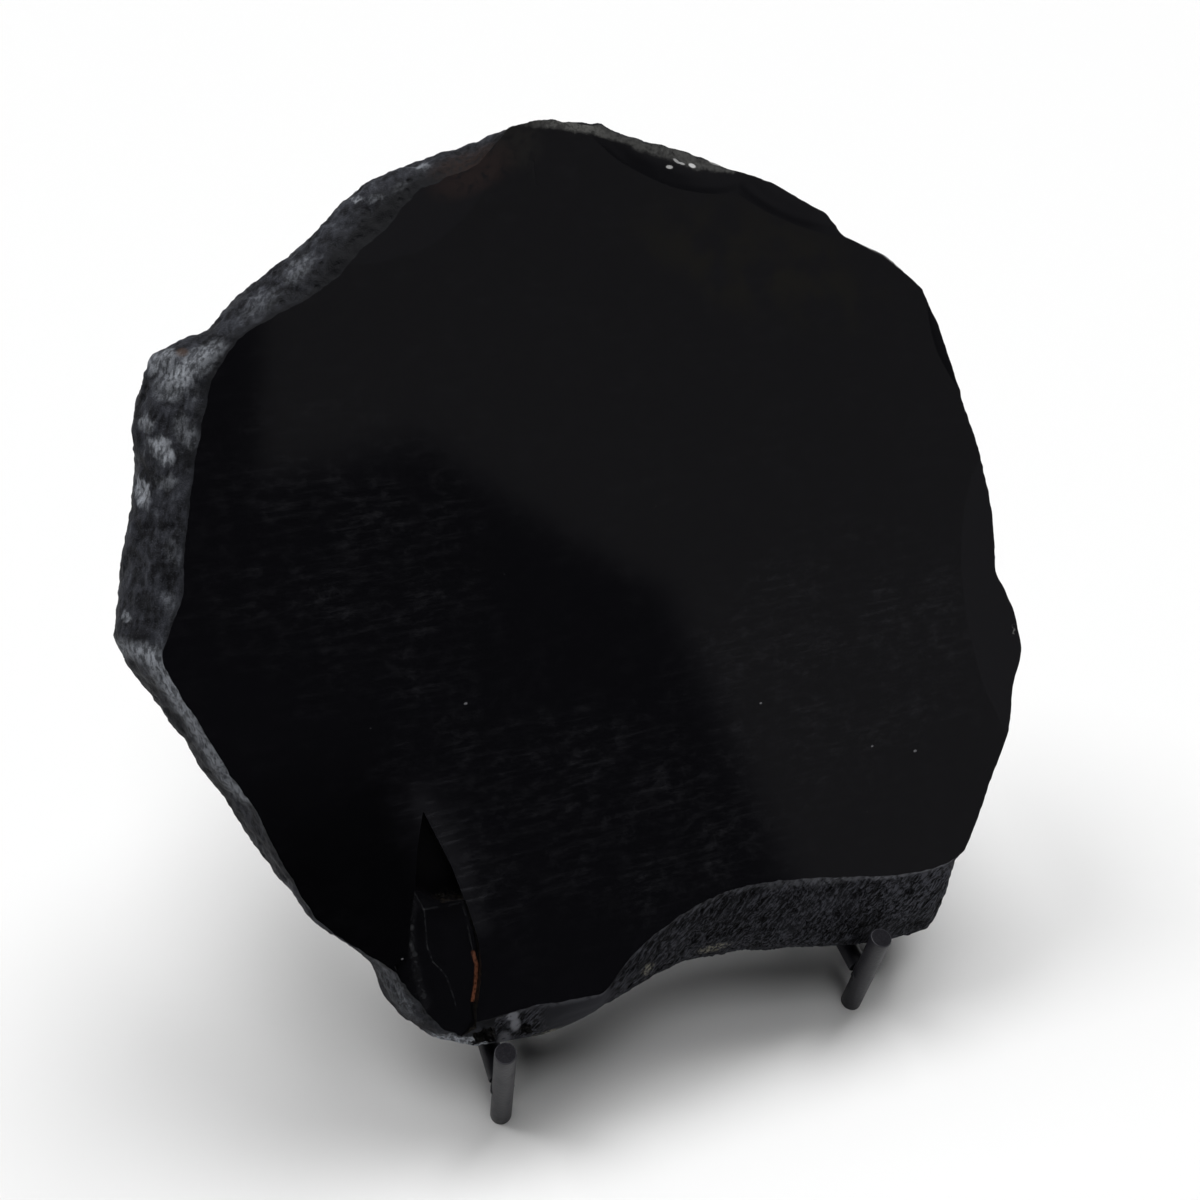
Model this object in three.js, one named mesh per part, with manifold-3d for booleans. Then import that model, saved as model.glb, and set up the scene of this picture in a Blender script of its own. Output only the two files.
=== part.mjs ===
// A polished obsidian slab that leans back on a welded stand of round rod.
// Millimetres, +Z up. The slab's polished face looks towards -Y and up.
import * as THREE from "three";
import { mergeVertices } from "three/addons/utils/BufferGeometryUtils.js";
import Module from "manifold-3d";

const wasm = await Module();
wasm.setup();

const degrees = THREE.MathUtils.degToRad;

// Driving dimensions
const lean = degrees(40); // slab and uprights, back from upright
const rod = 8; // diameter of every rod of the stand
const postSpacing = 150; // between the axes of the left and right sides
const postHeight = 51;
const railHeight = 22; // axis of the side rails above the floor
const rearLegBack = 160; // axis of the rear legs behind the front posts
const rearLegHeight = 160;
const uprightTop = 190; // along the lean, from the slab's own zero height
const crossBarTop = 150; // the same, for the bar between the uprights
const rearBarHeight = 40;
const weldGap = 0.3; // kept between every two pieces

const thickness = 40; // of the slab
const faceFoot = 50; // height of the face's plane above the front posts' line
const seatHeight = railHeight + rod / 2 + weldGap; // underside of the slab on the rails
const bearings = 180; // steps round the slab
const centre = { x: 0, z: 150 }; // the outlines are read as radii about this point

// The polished face's edge as [x, z] in the slab's own frame: x to the right, z up the face
const faceEdge = [
  [147, 150], [145, 171], [143, 182], [139, 197], [136, 215], [133, 227], [127, 241],
  [113, 254], [97, 263], [92, 271], [73, 283], [52, 292], [24, 303], [2, 309],
  [-11, 311], [-22, 309], [-34, 298], [-54, 291], [-68, 280], [-86, 267], [-97, 261],
  [-119, 252], [-129, 241], [-136, 224], [-143, 203], [-150, 176], [-160, 158], [-152, 134],
  [-141, 105], [-134, 79], [-129, 64], [-111, 44], [-96, 27], [-83, 14], [-73, 14],
  [-61, 14], [-36, 11], [-30.5, 16.5], [-25, 20.8], [-17.5, 25.6], [-5.5, 30.5], [4, 33.2],
  [14, 35], [24, 35], [37, 33.5], [54, 30.3], [68, 26.8], [81, 23.6], [96, 21.5], [108, 21.5],
  [116, 24], [132, 50], [143, 67], [147, 83], [154, 98], [153, 114], [146, 131],
];

// The widest line of the rim as [x, z, depth behind the face]
const rimLine = [
  [149, 150, 10], [147, 171, 10], [141, 197, 10], [138, 215, 10], [129, 242, 10],
  [115, 256, 10], [99, 264, 10], [94, 272, 10], [75, 284, 10], [54, 293, 10],
  [26, 304, 9], [3, 310, 9], [-11, 312, 9], [-24, 310, 12], [-37, 306, 12],
  [-53, 303, 12], [-70, 298, 12], [-83, 288, 14], [-94, 280, 14], [-109, 271, 16],
  [-127, 258, 16], [-145, 252, 16], [-149, 245, 16], [-155, 233, 17], [-156, 219, 18],
  [-161, 203, 18], [-167, 186, 18], [-170, 176, 19], [-174, 165, 20], [-166, 146, 20],
  [-159, 129, 20], [-148, 103, 20], [-142, 86, 20], [-132, 66, 18], [-115, 43, 16],
  [-111, 35, 17], [-107, 20, 16], [-103, 14, 14], [-97, 8, 12], [-89, 4, 10],
  [-83, 2, 8], [-71, 1, 7], [-59, -1, 8], [-46, -1, 10], [-34, 2, 10],
  [-13, 7, 12], [2, 8, 14], [23, 6, 14], [43, 3, 10], [63, -2, 8],
  [76, -6, 12], [86, -9, 15], [104, -10, 15], [108, -6, 14], [114, 6, 12], [119, 23, 10],
  [134, 49, 10], [145, 66, 10], [149, 82, 10], [156, 97, 10], [155, 114, 10], [148, 131, 10],
];

// How far the body swells past the rim line at half depth, and how far the back edge draws in: [bearing, mm]
const belly = [[0, 5], [60, 4], [100, 1], [140, 0], [215, 0], [240, 4], [270, 6], [300, 6], [325, 5]];
const backInset = [[0, 8], [90, 7], [180, 9], [225, 8], [250, 1], [290, 1], [315, 6]];

// Stages from the face's edge to the rim line: share of the way out, share of the way in
const rollStages = [[0, 0], [0.38, 0.24], [0.7, 0.52], [0.91, 0.8], [1, 1]];
const lumpHeight = 0.9;

// Shallow shell-shaped flake scars: centre and half sizes on the face or back, greatest depth, turn in degrees
const faceScars = [
  { x: -66, z: 306, halfX: 44, halfZ: 34, depth: 1.4, turn: 24 }, // beside the top left edge
  { x: 42, z: 312, halfX: 44, halfZ: 28, depth: 3.4, turn: -22 }, // dark bite in the top edge
  { x: 86, z: 298, halfX: 54, halfZ: 30, depth: 3, turn: -28 }, // chipped bevel, top right
  { x: 168, z: 112, halfX: 38, halfZ: 74, depth: 2.6, turn: 6 }, // second plane at the right edge
  { x: 152, z: 222, halfX: 22, halfZ: 34, depth: 3, turn: 20 },
];
const backScars = [
  { x: -140, z: 215, halfX: 34, halfZ: 48, depth: 5, turn: -12 },
  { x: -128, z: 105, halfX: 30, halfZ: 40, depth: 5, turn: 18 },
  { x: -40, z: 300, halfX: 52, halfZ: 26, depth: 6, turn: 8 },
  { x: 62, z: 288, halfX: 46, halfZ: 30, depth: 6, turn: -20 },
  { x: 146, z: 190, halfX: 32, halfZ: 52, depth: 5, turn: 8 },
  { x: 140, z: 85, halfX: 34, halfZ: 40, depth: 5, turn: -16 },
];

// The stepped break in the lower left of the face: outlines as [x, z, depth of the floor there]
const breakRecess = [
  [-88.3, 91.6, 6], [-82, 70, 6.6], [-79.8, 58, 6.6], [-87.2, 58.6, 6.6], [-95.4, 65.6, 6.6], [-94.6, 70, 6.6],
  [-92.5, 79, 6.6],
];
const breakPlates = [
  [-98, 59, 3], [-95.8, 66, 2.7], [-87.2, 58.8, 3], [-79.4, 58, 3], [-77.5, 45, 3.5], [-77.4, 39, 3.8],
  [-77.8, 33, 4.1], [-79.8, 25, 4.4], [-82.5, 17, 4.8], [-83, 11, 5.1], [-92, 6, 5.3], [-99, 10, 5.1],
  [-105, 30, 4.2], [-107, 42, 3.7], [-102, 44, 3.6],
];

const obsidian = new THREE.MeshStandardMaterial({ color: 0x0b0b0d, roughness: 0.12, metalness: 0 });
const blackPaint = new THREE.MeshStandardMaterial({ color: 0x2b2b2f, roughness: 0.5, metalness: 0 });

// Turns a closed list of points into [bearing, radius, ...rest], sorted by bearing.
function toPolar(points) {
  return points
    .map(([x, z, ...rest]) => {
      const turn = Math.atan2(z - centre.z, x - centre.x);
      const bearing = (THREE.MathUtils.radToDeg(turn) + 360) % 360;
      return [bearing, Math.hypot(x - centre.x, z - centre.z), ...rest];
    })
    .sort((a, b) => a[0] - b[0]);
}

// Reads column k of a list sorted by bearing, straight between its entries and closed at 360.
function readRound(list, bearing, k = 1) {
  const next = list.find((entry) => entry[0] > bearing) ?? list[0];
  const last = list.filter((entry) => entry[0] <= bearing).at(-1) ?? list.at(-1);
  const span = (next[0] - last[0] + 360) % 360 || 360;
  const share = ((bearing - last[0] + 360) % 360) / span;
  return THREE.MathUtils.lerp(last[k], next[k], share);
}

// Lumps of the rough rim: a few waves of unlike length, zero on the polished face and the back.
function lump(bearing, depth) {
  const a = degrees(bearing);
  const wave = Math.sin(9 * a + 0.21 * depth) + 0.7 * Math.sin(17 * a - 0.35 * depth + 2);
  return lumpHeight * 0.5 * (wave + 0.6 * Math.sin(31 * a + 0.5 * depth + 4));
}

// A closed mesh from rings of equal length, with the first and last ring closed by a fan about a hub.
function loft(rings, firstHub, lastHub) {
  const points = [firstHub, ...rings.flat(), lastHub];
  const count = rings[0].length;
  const indices = [];
  const at = (ring, i) => 1 + ring * count + (i % count);
  for (let i = 0; i < count; i += 1) {
    indices.push(0, at(0, i), at(0, i + 1));
    for (let ring = 0; ring + 1 < rings.length; ring += 1) {
      indices.push(at(ring, i), at(ring + 1, i), at(ring + 1, i + 1));
      indices.push(at(ring, i), at(ring + 1, i + 1), at(ring, i + 1));
    }
    indices.push(points.length - 1, at(rings.length - 1, i + 1), at(rings.length - 1, i));
  }
  const geometry = new THREE.BufferGeometry();
  geometry.setAttribute("position", new THREE.Float32BufferAttribute(points.flat(), 3));
  geometry.setIndex(indices);
  return geometry;
}

// One ring of the slab: a radius and a depth for each bearing.
function ring(radiusAt, depthAt) {
  return Array.from({ length: bearings }, (_, i) => {
    const bearing = (360 * i) / bearings;
    const [radius, depth] = [radiusAt(bearing), depthAt(bearing)];
    const a = degrees(bearing);
    return [centre.x + radius * Math.cos(a), depth, centre.z + radius * Math.sin(a)];
  });
}

// The slab before its breaks: flat face, rolled rind or rough band, swollen body and flat back.
function slabBlank() {
  const edge = toPolar(faceEdge);
  const rim = toPolar(rimLine);
  const rimDepth = (b) => readRound(rim, b, 2);
  const roll = rollStages.map(([out, inward]) =>
    ring(
      (b) => {
        const radius = THREE.MathUtils.lerp(readRound(edge, b), readRound(rim, b), out);
        return radius + out * (1 - out) * 4 * lump(b, inward * 10);
      },
      (b) => inward * rimDepth(b),
    ),
  );
  const body = [0.35, 0.7].map((share) =>
    ring(
      (b) => readRound(rim, b) + readRound(belly, b) * Math.sin(share * Math.PI * 0.7) + lump(b, 20 + 20 * share),
      (b) => THREE.MathUtils.lerp(rimDepth(b), thickness - 4, share),
    ),
  );
  const backEdge = [0.45, 1].map((share) =>
    ring(
      (b) => readRound(rim, b) + (1 - share) * 0.8 * readRound(belly, b) - share * readRound(backInset, b) + lump(b, 40),
      () => thickness - 4 + 4 * share,
    ),
  );
  const hubs = [0, thickness].map((depth) => [centre.x, depth, centre.z]);
  return loft([...roll, ...body, ...backEdge], ...hubs);
}

// A manifold-3d solid from a closed geometry.
function solid(geometry) {
  const bare = geometry.clone();
  bare.deleteAttribute("normal");
  bare.deleteAttribute("uv");
  const merged = mergeVertices(bare, 1e-4);
  const mesh = new wasm.Mesh({
    numProp: 3,
    vertProperties: merged.attributes.position.array,
    triVerts: new Uint32Array(merged.index.array),
  });
  return new wasm.Manifold(mesh);
}

// The geometry of a manifold-3d solid.
function geometryOf(manifold) {
  const mesh = manifold.getMesh();
  const geometry = new THREE.BufferGeometry();
  geometry.setAttribute("position", new THREE.BufferAttribute(mesh.vertProperties, 3));
  geometry.setIndex(new THREE.BufferAttribute(mesh.triVerts, 1));
  geometry.computeVertexNormals();
  return geometry;
}

// The tool that cuts one flake scar: an ellipsoid that dips below the plane by the scar's depth.
function scarTool({ x, z, halfX, halfZ, depth, turn }, plane, side) {
  const flatness = 12; // the ellipsoid's half height over the scar's depth
  const spread = 1 / Math.sqrt(1 - ((flatness - 1) / flatness) ** 2);
  const tool = new THREE.SphereGeometry(1, 40, 48);
  tool.scale(halfX * spread, flatness * depth, halfZ * spread);
  tool.rotateY(-degrees(turn));
  tool.translate(x, plane - side * (flatness - 1) * depth, z);
  return solid(tool);
}

// The tool for one level of the stepped break: a prism whose floor follows the depths of its outline.
function breakTool(outline) {
  const inFront = 6;
  const shape = new THREE.Shape(outline.map(([x, z]) => new THREE.Vector2(x, z)));
  const tool = new THREE.ExtrudeGeometry(shape, { depth: 1, bevelEnabled: false });
  const position = tool.attributes.position;
  for (let i = 0; i < position.count; i += 1) {
    const [x, z] = [position.getX(i), position.getY(i)];
    const corner = outline.find((p) => Math.hypot(p[0] - x, p[1] - z) < 0.01);
    const isFloor = position.getZ(i) > 0.5;
    position.setXYZ(i, x, isFloor ? corner[2] : -inFront, z);
  }
  // Swapping two axes turns the faces inside out, so each triangle is turned round again.
  const turned = [];
  for (let i = 0; i < position.count; i += 3) turned.push(i, i + 2, i + 1);
  tool.setIndex(turned);
  return solid(tool);
}

// Everything under the seat, where the slab stands on the rails, in the slab's leaning frame.
function seatTool(frame) {
  const [size, drop] = [600, 100];
  const tool = new THREE.BoxGeometry(size, size, drop);
  tool.translate(0, 0, seatHeight - drop / 2);
  tool.applyMatrix4(frame.matrix.clone().invert());
  return solid(tool);
}

// The obsidian, one solid, in a frame that leans back with the stand.
function makeSlab() {
  const frame = new THREE.Group();
  frame.position.z = faceFoot;
  frame.rotation.x = -lean;
  frame.updateMatrix();
  const tools = [
    ...faceScars.map((scar) => scarTool(scar, 0, 1)),
    ...backScars.map((scar) => scarTool(scar, thickness, -1)),
    breakTool(breakRecess),
    breakTool(breakPlates),
    seatTool(frame),
  ];
  const stone = tools.reduce((left, tool) => left.subtract(tool), solid(slabBlank()));
  const mesh = new THREE.Mesh(geometryOf(stone), obsidian);
  mesh.name = "obsidian_slab";
  frame.add(mesh);
  return frame;
}

// A straight rod with flat ends between two points.
function makeRod(name, from, to) {
  const [start, end] = [new THREE.Vector3(...from), new THREE.Vector3(...to)];
  const geometry = new THREE.CylinderGeometry(rod / 2, rod / 2, start.distanceTo(end), 24);
  const mesh = new THREE.Mesh(geometry, blackPaint);
  mesh.name = name;
  mesh.position.copy(start).add(end).multiplyScalar(0.5);
  mesh.quaternion.setFromUnitVectors(new THREE.Vector3(0, 1, 0), end.sub(start).normalize());
  return mesh;
}

// A point on the line of the uprights' axes, a height along the lean.
function onUpright(x, along) {
  const behind = thickness + weldGap + rod / 2;
  const back = along * Math.sin(lean) + behind * Math.cos(lean);
  return [x, back, faceFoot + along * Math.cos(lean) - behind * Math.sin(lean)];
}

// The welded stand: on each side a front post, a rail, an upright and a rear leg, and two cross bars.
function makeStand() {
  const stand = new THREE.Group();
  const clear = rod / 2 + weldGap;
  const uprightFoot = 9.8;
  for (const [side, sign] of [["left", -1], ["right", 1]]) {
    const x = (sign * postSpacing) / 2;
    stand.add(
      makeRod(`front_post_${side}`, [x, 0, 0], [x, 0, postHeight]),
      makeRod(`side_rail_${side}`, [x, clear, railHeight], [x, rearLegBack - clear, railHeight]),
      makeRod(`back_upright_${side}`, onUpright(x, uprightFoot), onUpright(x, uprightTop)),
      makeRod(`rear_leg_${side}`, [x, rearLegBack, 0], [x, rearLegBack, rearLegHeight]),
    );
  }
  const reach = postSpacing / 2 - clear;
  stand.add(
    makeRod("cross_bar_upper", onUpright(-reach, crossBarTop), onUpright(reach, crossBarTop)),
    makeRod("cross_bar_rear", [-reach, rearLegBack, rearBarHeight], [reach, rearLegBack, rearBarHeight]),
  );
  return stand;
}

// The origin is under the middle of the whole object's box, on the floor.
const model = new THREE.Group();
model.add(makeSlab(), makeStand());
const box = new THREE.Box3().setFromObject(model, true);
const middle = box.getCenter(new THREE.Vector3());
model.position.set(-middle.x, -middle.y, -box.min.z);

export default model;
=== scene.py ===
import math

import bpy
import numpy as np
from mathutils import Matrix, Vector


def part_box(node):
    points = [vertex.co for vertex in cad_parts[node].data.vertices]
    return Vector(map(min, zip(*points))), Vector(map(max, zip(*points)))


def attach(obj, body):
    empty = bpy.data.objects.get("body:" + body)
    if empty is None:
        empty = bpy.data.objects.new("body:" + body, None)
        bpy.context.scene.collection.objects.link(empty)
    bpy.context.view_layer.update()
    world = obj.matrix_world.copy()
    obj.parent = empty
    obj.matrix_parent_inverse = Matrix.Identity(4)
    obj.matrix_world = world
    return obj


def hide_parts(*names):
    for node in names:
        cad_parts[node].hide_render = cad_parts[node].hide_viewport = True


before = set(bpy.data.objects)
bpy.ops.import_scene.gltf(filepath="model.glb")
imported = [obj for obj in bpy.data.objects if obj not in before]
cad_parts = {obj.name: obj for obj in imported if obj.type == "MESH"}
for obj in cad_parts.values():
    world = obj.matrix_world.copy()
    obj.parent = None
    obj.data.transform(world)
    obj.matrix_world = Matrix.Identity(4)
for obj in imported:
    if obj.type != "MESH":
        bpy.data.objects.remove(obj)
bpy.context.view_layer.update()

mm = 0.001

stand = {
    "rodRadius": 4.0,
    "lean": 40.0,  # degrees, of the slab and the uprights
    "railHeight": 22.0,
    "rearLegBack": 160.0,
    "rearLegHeight": 160.0,
    "rearBarHeight": 40.0,
    "uprightFoot": 9.8,  # along the lean, from the slab's zero height
    "uprightTop": 190.0,
    "crossBarTop": 150.0,
    "faceFoot": 50.0,  # height of the face's plane above the line of the front posts
    "thickness": 40.0,  # of the slab
    "gap": 0.3,  # between every two pieces of the frame
}

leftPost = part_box("front_post_left")
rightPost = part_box("front_post_right")
standX = (leftPost[0].x + rightPost[1].x) / 2
standY = (leftPost[0].y + leftPost[1].y) / 2
halfSpacing = (rightPost[1].x - leftPost[0].x) / 2 / mm - stand["rodRadius"]
postHeight = leftPost[1].z / mm
seatHeight = stand["railHeight"] + stand["rodRadius"] + stand["gap"]

lean = math.radians(stand["lean"])
slabPlace = Matrix.Translation((standX, standY, stand["faceFoot"] * mm)) @ Matrix.Rotation(-lean, 4, "X")
standPlace = Matrix.Translation((standX, standY, 0))


# Millimetre points of the slab's or the stand's own frame, put into the row's frame in metres
def placed(points, place):
    turn = np.array(place.to_3x3())
    return points * mm @ turn.T + np.array(place.translation)


# Noise

latticeSize = 48
rng = np.random.default_rng(41)
lattice = rng.random((latticeSize,) * 3)
jitter = rng.random((latticeSize,) * 3 + (3,))


# Smooth value noise from 0 to 1: the eight corners of each lattice cell, blended by eased shares
def softNoise(points):
    cell = np.floor(points).astype(int)
    share = points - cell
    share = share * share * (3 - 2 * share)
    total = np.zeros(len(points))
    for corner in np.ndindex(2, 2, 2):
        weight = np.prod(np.where(corner, share, 1 - share), axis=1)
        total += weight * lattice[tuple(((cell + corner) % latticeSize).T)]
    return total


# Noise of several sizes from -1 to 1: each finer layer is half as high as the last
def roughNoise(points, layers=4):
    heights = [0.5**k for k in range(layers)]
    total = sum(h * (softNoise(points * 2**k + 17.3 * k) - 0.5) for k, h in enumerate(heights))
    return 2 * total / sum(heights) * 1.6


# Distance to the nearest of one random point in each unit cell
def cellDistance(points):
    cell = np.floor(points).astype(int)
    nearest = np.full(len(points), 9.0)
    for step in np.ndindex(3, 3, 3):
        other = cell + np.array(step) - 1
        spot = other + jitter[tuple((other % latticeSize).T)]
        nearest = np.minimum(nearest, np.linalg.norm(points - spot, axis=1))
    return nearest


# 0 below low, 1 above high, an eased step between
def ease(value, low, high):
    share = np.clip((value - low) / (high - low), 0, 1)
    return share * share * (3 - 2 * share)


# 1 from one bearing to another in degrees, eased to 0 over a margin outside
def arcMask(bearing, start, end, margin):
    middle = (start + end) / 2
    away = np.abs((bearing - middle + 180) % 360 - 180)
    return 1 - ease(away, (end - start) / 2, (end - start) / 2 + margin)


# Meshes


# A mesh object from points in the row's frame and faces, which may be quads or triangles
def makeObject(name, points, faces, materials=(), faceSlots=None):
    mesh = bpy.data.meshes.new(name)
    mesh.from_pydata(points.tolist(), [], faces.tolist() if hasattr(faces, "tolist") else faces)
    for material in materials:
        mesh.materials.append(material)
    if faceSlots is not None:
        mesh.polygons.foreach_set("material_index", faceSlots)
    mesh.update()
    piece = bpy.data.objects.new(name, mesh)
    bpy.context.scene.collection.objects.link(piece)
    return piece


# Turns a closed mesh's faces outwards if its signed volume is negative
def faceOut(piece):
    mesh = piece.data
    mesh.calc_loop_triangles()
    corners = np.zeros(len(mesh.loop_triangles) * 3, int)
    mesh.loop_triangles.foreach_get("vertices", corners)
    points = np.zeros(len(mesh.vertices) * 3)
    mesh.vertices.foreach_get("co", points)
    a, b, c = points.reshape(-1, 3)[corners.reshape(-1, 3)].transpose(1, 0, 2)
    if np.sum(np.einsum("ij,ij->i", a, np.cross(b, c))) < 0:
        mesh.flip_normals()


# Quads between the rows of a grid whose rows close on themselves, facing out when the rows turn
# left about the way that they follow each other
def ringQuads(rows, count, closed=False):
    row, i = np.meshgrid(np.arange(rows if closed else rows - 1), np.arange(count), indexing="ij")
    nextRow, nextI = (row + 1) % rows, (i + 1) % count
    corners = [row * count + i, row * count + nextI, nextRow * count + nextI, nextRow * count + i]
    return np.stack(corners, axis=-1).reshape(-1, 4)


# A closed skin over a stack of rings: quads between them and a fan to a hub at each end
def closedStack(rings, firstHub, lastHub):
    rows, count = rings.shape[:2]
    points = np.vstack([rings.reshape(-1, 3), firstHub, lastHub])
    i = np.arange(count)
    nextI = (i + 1) % count
    last = (rows - 1) * count
    start = np.stack([np.full(count, rows * count), nextI, i], axis=1)
    end = np.stack([np.full(count, rows * count + 1), last + i, last + nextI], axis=1)
    return points, ringQuads(rows, count).tolist() + start.tolist() + end.tolist()


# The slab

# The material slot of each of its finishes
# deep is a dull near-black finish: painted shade in the recess, the break's walls and the pockets
finish = {"face": 0, "rind": 1, "glass": 2, "back": 3, "band": 4, "deep": 5}

slab = {
    "centre": (0.0, 150.0),  # x and z of the point that the outlines are read about
    "bearings": 1240,
    "rollRings": 26,
    "bodyRings": 15,
    "backRings": 7,
    "backRoll": 4.0,  # radius of the back's edge
    "faceShares": (0.0, 0.02, 0.08, 0.25, 0.5, 0.8),  # of the way from the edge to the centre
    "rindLump": 0.85,  # heights in millimetres
    "rindGrain": 0.34,
    "rindPit": 0.6,
    "bandRidge": 0.5,
    "bandPit": 0.75,
    "glassLump": 0.45,
    "sharpAngle": 18,  # degrees, from which two finishes meet in a hard edge
    "faceRipple": 0.012,  # of the flake scars on either side
    "backRipple": 0.045,
}

# The polished face's edge as x, z
faceEdge = [
    (147, 150), (145, 171), (143, 182), (139, 197), (136, 215), (133, 227), (127, 241),
    (113, 254), (97, 263), (92, 271), (73, 283), (52, 292), (24, 303), (2, 309),
    (-11, 311), (-22, 309), (-34, 298), (-54, 291), (-68, 280), (-86, 267), (-97, 261),
    (-119, 252), (-129, 241), (-136, 224), (-143, 203), (-150, 176), (-160, 158), (-152, 134),
    (-141, 105), (-134, 79), (-129, 64), (-111, 44), (-96, 27), (-83, 14), (-73, 14),
    (-61, 14), (-36, 11), (-30.5, 16.5), (-25, 20.8), (-17.5, 25.6), (-5.5, 30.5), (4, 33.2),
    (14, 35), (24, 35), (37, 33.5), (54, 30.3), (68, 26.8), (81, 23.6), (96, 21.5), (108, 21.5),
    (116, 24), (132, 50),
    (143, 67), (147, 83), (154, 98), (153, 114), (146, 131),
]

# The widest line of the rim as x, z and the depth behind the face
rimLine = [
    (149, 150, 10), (147, 171, 10), (141, 197, 10), (138, 215, 10), (129, 242, 10),
    (115, 256, 10), (99, 264, 10), (94, 272, 10), (75, 284, 10), (54, 293, 10),
    (26, 304, 9), (3, 310, 9), (-11, 312, 9), (-24, 310, 12), (-37, 306, 12),
    (-53, 303, 12), (-70, 298, 12), (-83, 288, 14), (-94, 280, 14), (-109, 271, 16),
    (-127, 258, 16), (-145, 252, 16), (-149, 245, 16), (-155, 233, 17), (-156, 219, 18),
    (-161, 203, 18), (-167, 186, 18), (-170, 176, 19), (-174, 165, 20), (-166, 146, 20),
    (-159, 129, 20), (-148, 103, 20), (-142, 86, 20), (-132, 66, 18), (-115, 43, 16),
    (-111, 35, 17), (-107, 20, 16), (-103, 14, 14), (-97, 8, 12), (-89, 4, 10),
    (-83, 2, 8), (-71, 1, 7), (-59, -1, 8), (-46, -1, 10), (-34, 2, 10),
    (-13, 7, 12), (2, 8, 14), (23, 6, 14), (43, 3, 10), (63, -2, 8),
    (76, -6, 12), (86, -9, 15), (104, -10, 15), (108, -6, 14), (114, 6, 12), (119, 23, 10),
    (134, 49, 10), (145, 66, 10), (149, 82, 10), (156, 97, 10), (155, 114, 10), (148, 131, 10),
]

# Swell past the rim line at half depth and draw of the back edge: bearing, millimetres
belly = [(0, 5), (60, 4), (100, 1), (140, 0), (215, 0), (240, 4), (270, 6), (300, 6), (325, 5)]
backInset = [(0, 8), (90, 7), (180, 9), (225, 8), (250, 1), (290, 1), (315, 6)]

# Pockets in the rim's foot, dark in the painted-shade finish: centre as x, depth, z, and half sizes
pockets = [((-80, 3.5, 7), (3.8, 3.2, 5)), ((-65.5, 4.2, 6.5), (2.6, 1.9, 4.2))]

# Stages from the face's edge to the rim line: share of the way out, share of the way in
rollOut = (0, 0.38, 0.7, 0.91, 1)
rollIn = (0, 0.24, 0.52, 0.8, 1)

# Shell-shaped flake scars: x, z, half sizes, greatest depth, turn in degrees
faceScars = [
    (-66, 306, 44, 34, 1.4, 24),  # beside the top left edge
    (42, 312, 44, 28, 3.4, -22),  # dark bite in the top edge
    (86, 298, 54, 30, 3.0, -28),  # chipped bevel, top right
    (168, 112, 38, 74, 2.6, 6),  # second plane at the right edge
    (152, 222, 22, 34, 3.0, 20),
]
backScars = [
    (-140, 215, 34, 48, 5, -12),
    (-128, 105, 30, 40, 5, 18),
    (-40, 300, 52, 26, 6, 8),
    (62, 288, 46, 30, 6, -20),
    (146, 190, 32, 52, 5, 8),
    (140, 85, 34, 40, 5, -16),
]

# The stepped break in the lower left of the face, as x, z: its deep recess and its shallower plates
breakRecess = [(-88.3, 91.6), (-82, 70), (-79.8, 58), (-87.2, 58.6), (-95.4, 65.6), (-94.6, 70), (-92.5, 79)]
breakPlates = [
    (-98, 59), (-95.8, 66), (-87.2, 58.8), (-79.4, 58), (-77.5, 45), (-77.4, 39), (-77.8, 33), (-79.8, 25),
    (-82.5, 17), (-83, 11), (-92, 6), (-99, 10), (-105, 30), (-107, 42), (-102, 44),
]


# Bearings round the slab in degrees, closer together where the rind and the rough band show
def spreadBearings():
    fine = np.linspace(0, 360, 3601)
    density = 1 + 1.2 * arcMask(fine, 95, 240, 6) + 1.2 * arcMask(fine, 255, 316, 4)
    travel = np.concatenate([[0], np.cumsum(density[:-1])])
    return np.interp(np.linspace(0, travel[-1], slab["bearings"], endpoint=False), travel, fine)


# A list of x, z points as radii, and depths if given, at each bearing, with corners eased over
# about a degree
def readOutline(points, bearing):
    rows = np.array(points, float)
    offset = rows[:, :2] - slab["centre"]
    turn = np.degrees(np.arctan2(offset[:, 1], offset[:, 0])) % 360
    order = np.argsort(turn)
    values = [np.hypot(offset[:, 0], offset[:, 1]), *rows[:, 2:].T]
    around = np.linspace(-0.9, 0.9, 7)
    share = np.exp(-((around / 0.6) ** 2))
    share /= share.sum()
    return [
        sum(s * np.interp(bearing + a, turn[order], v[order], period=360) for a, s in zip(around, share))
        for v in values
    ]


# A list of bearing, value pairs read at each bearing
def readBearings(pairs, bearing):
    rows = np.array(pairs, float)
    return np.interp(bearing, rows[:, 0], rows[:, 1], period=360)


# Long waves of the rim: three sines of unlike length round the slab, shifted with depth
def rimWave(bearing, depth):
    a = np.radians(bearing)
    wave = np.sin(9 * a + 0.21 * depth) + 0.7 * np.sin(17 * a - 0.35 * depth + 2)
    return 0.45 * (wave + 0.6 * np.sin(31 * a + 0.5 * depth + 4))


# Points of one ring from its radii and depths
def ringPoints(bearing, radius, depth):
    a = np.radians(bearing)
    x = slab["centre"][0] + radius * np.cos(a)
    z = slab["centre"][1] + radius * np.sin(a)
    return np.stack([x, np.broadcast_to(depth, x.shape), z], axis=-1)


# Shares of rind, rough band and bare glass round the rim, from 0 to 1
def rimZones(bearing):
    rind = arcMask(bearing, 74, 238, 6)
    band = arcMask(bearing, 257, 312, 2)
    return rind, band, np.clip(1 - rind - band, 0, 1)


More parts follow.
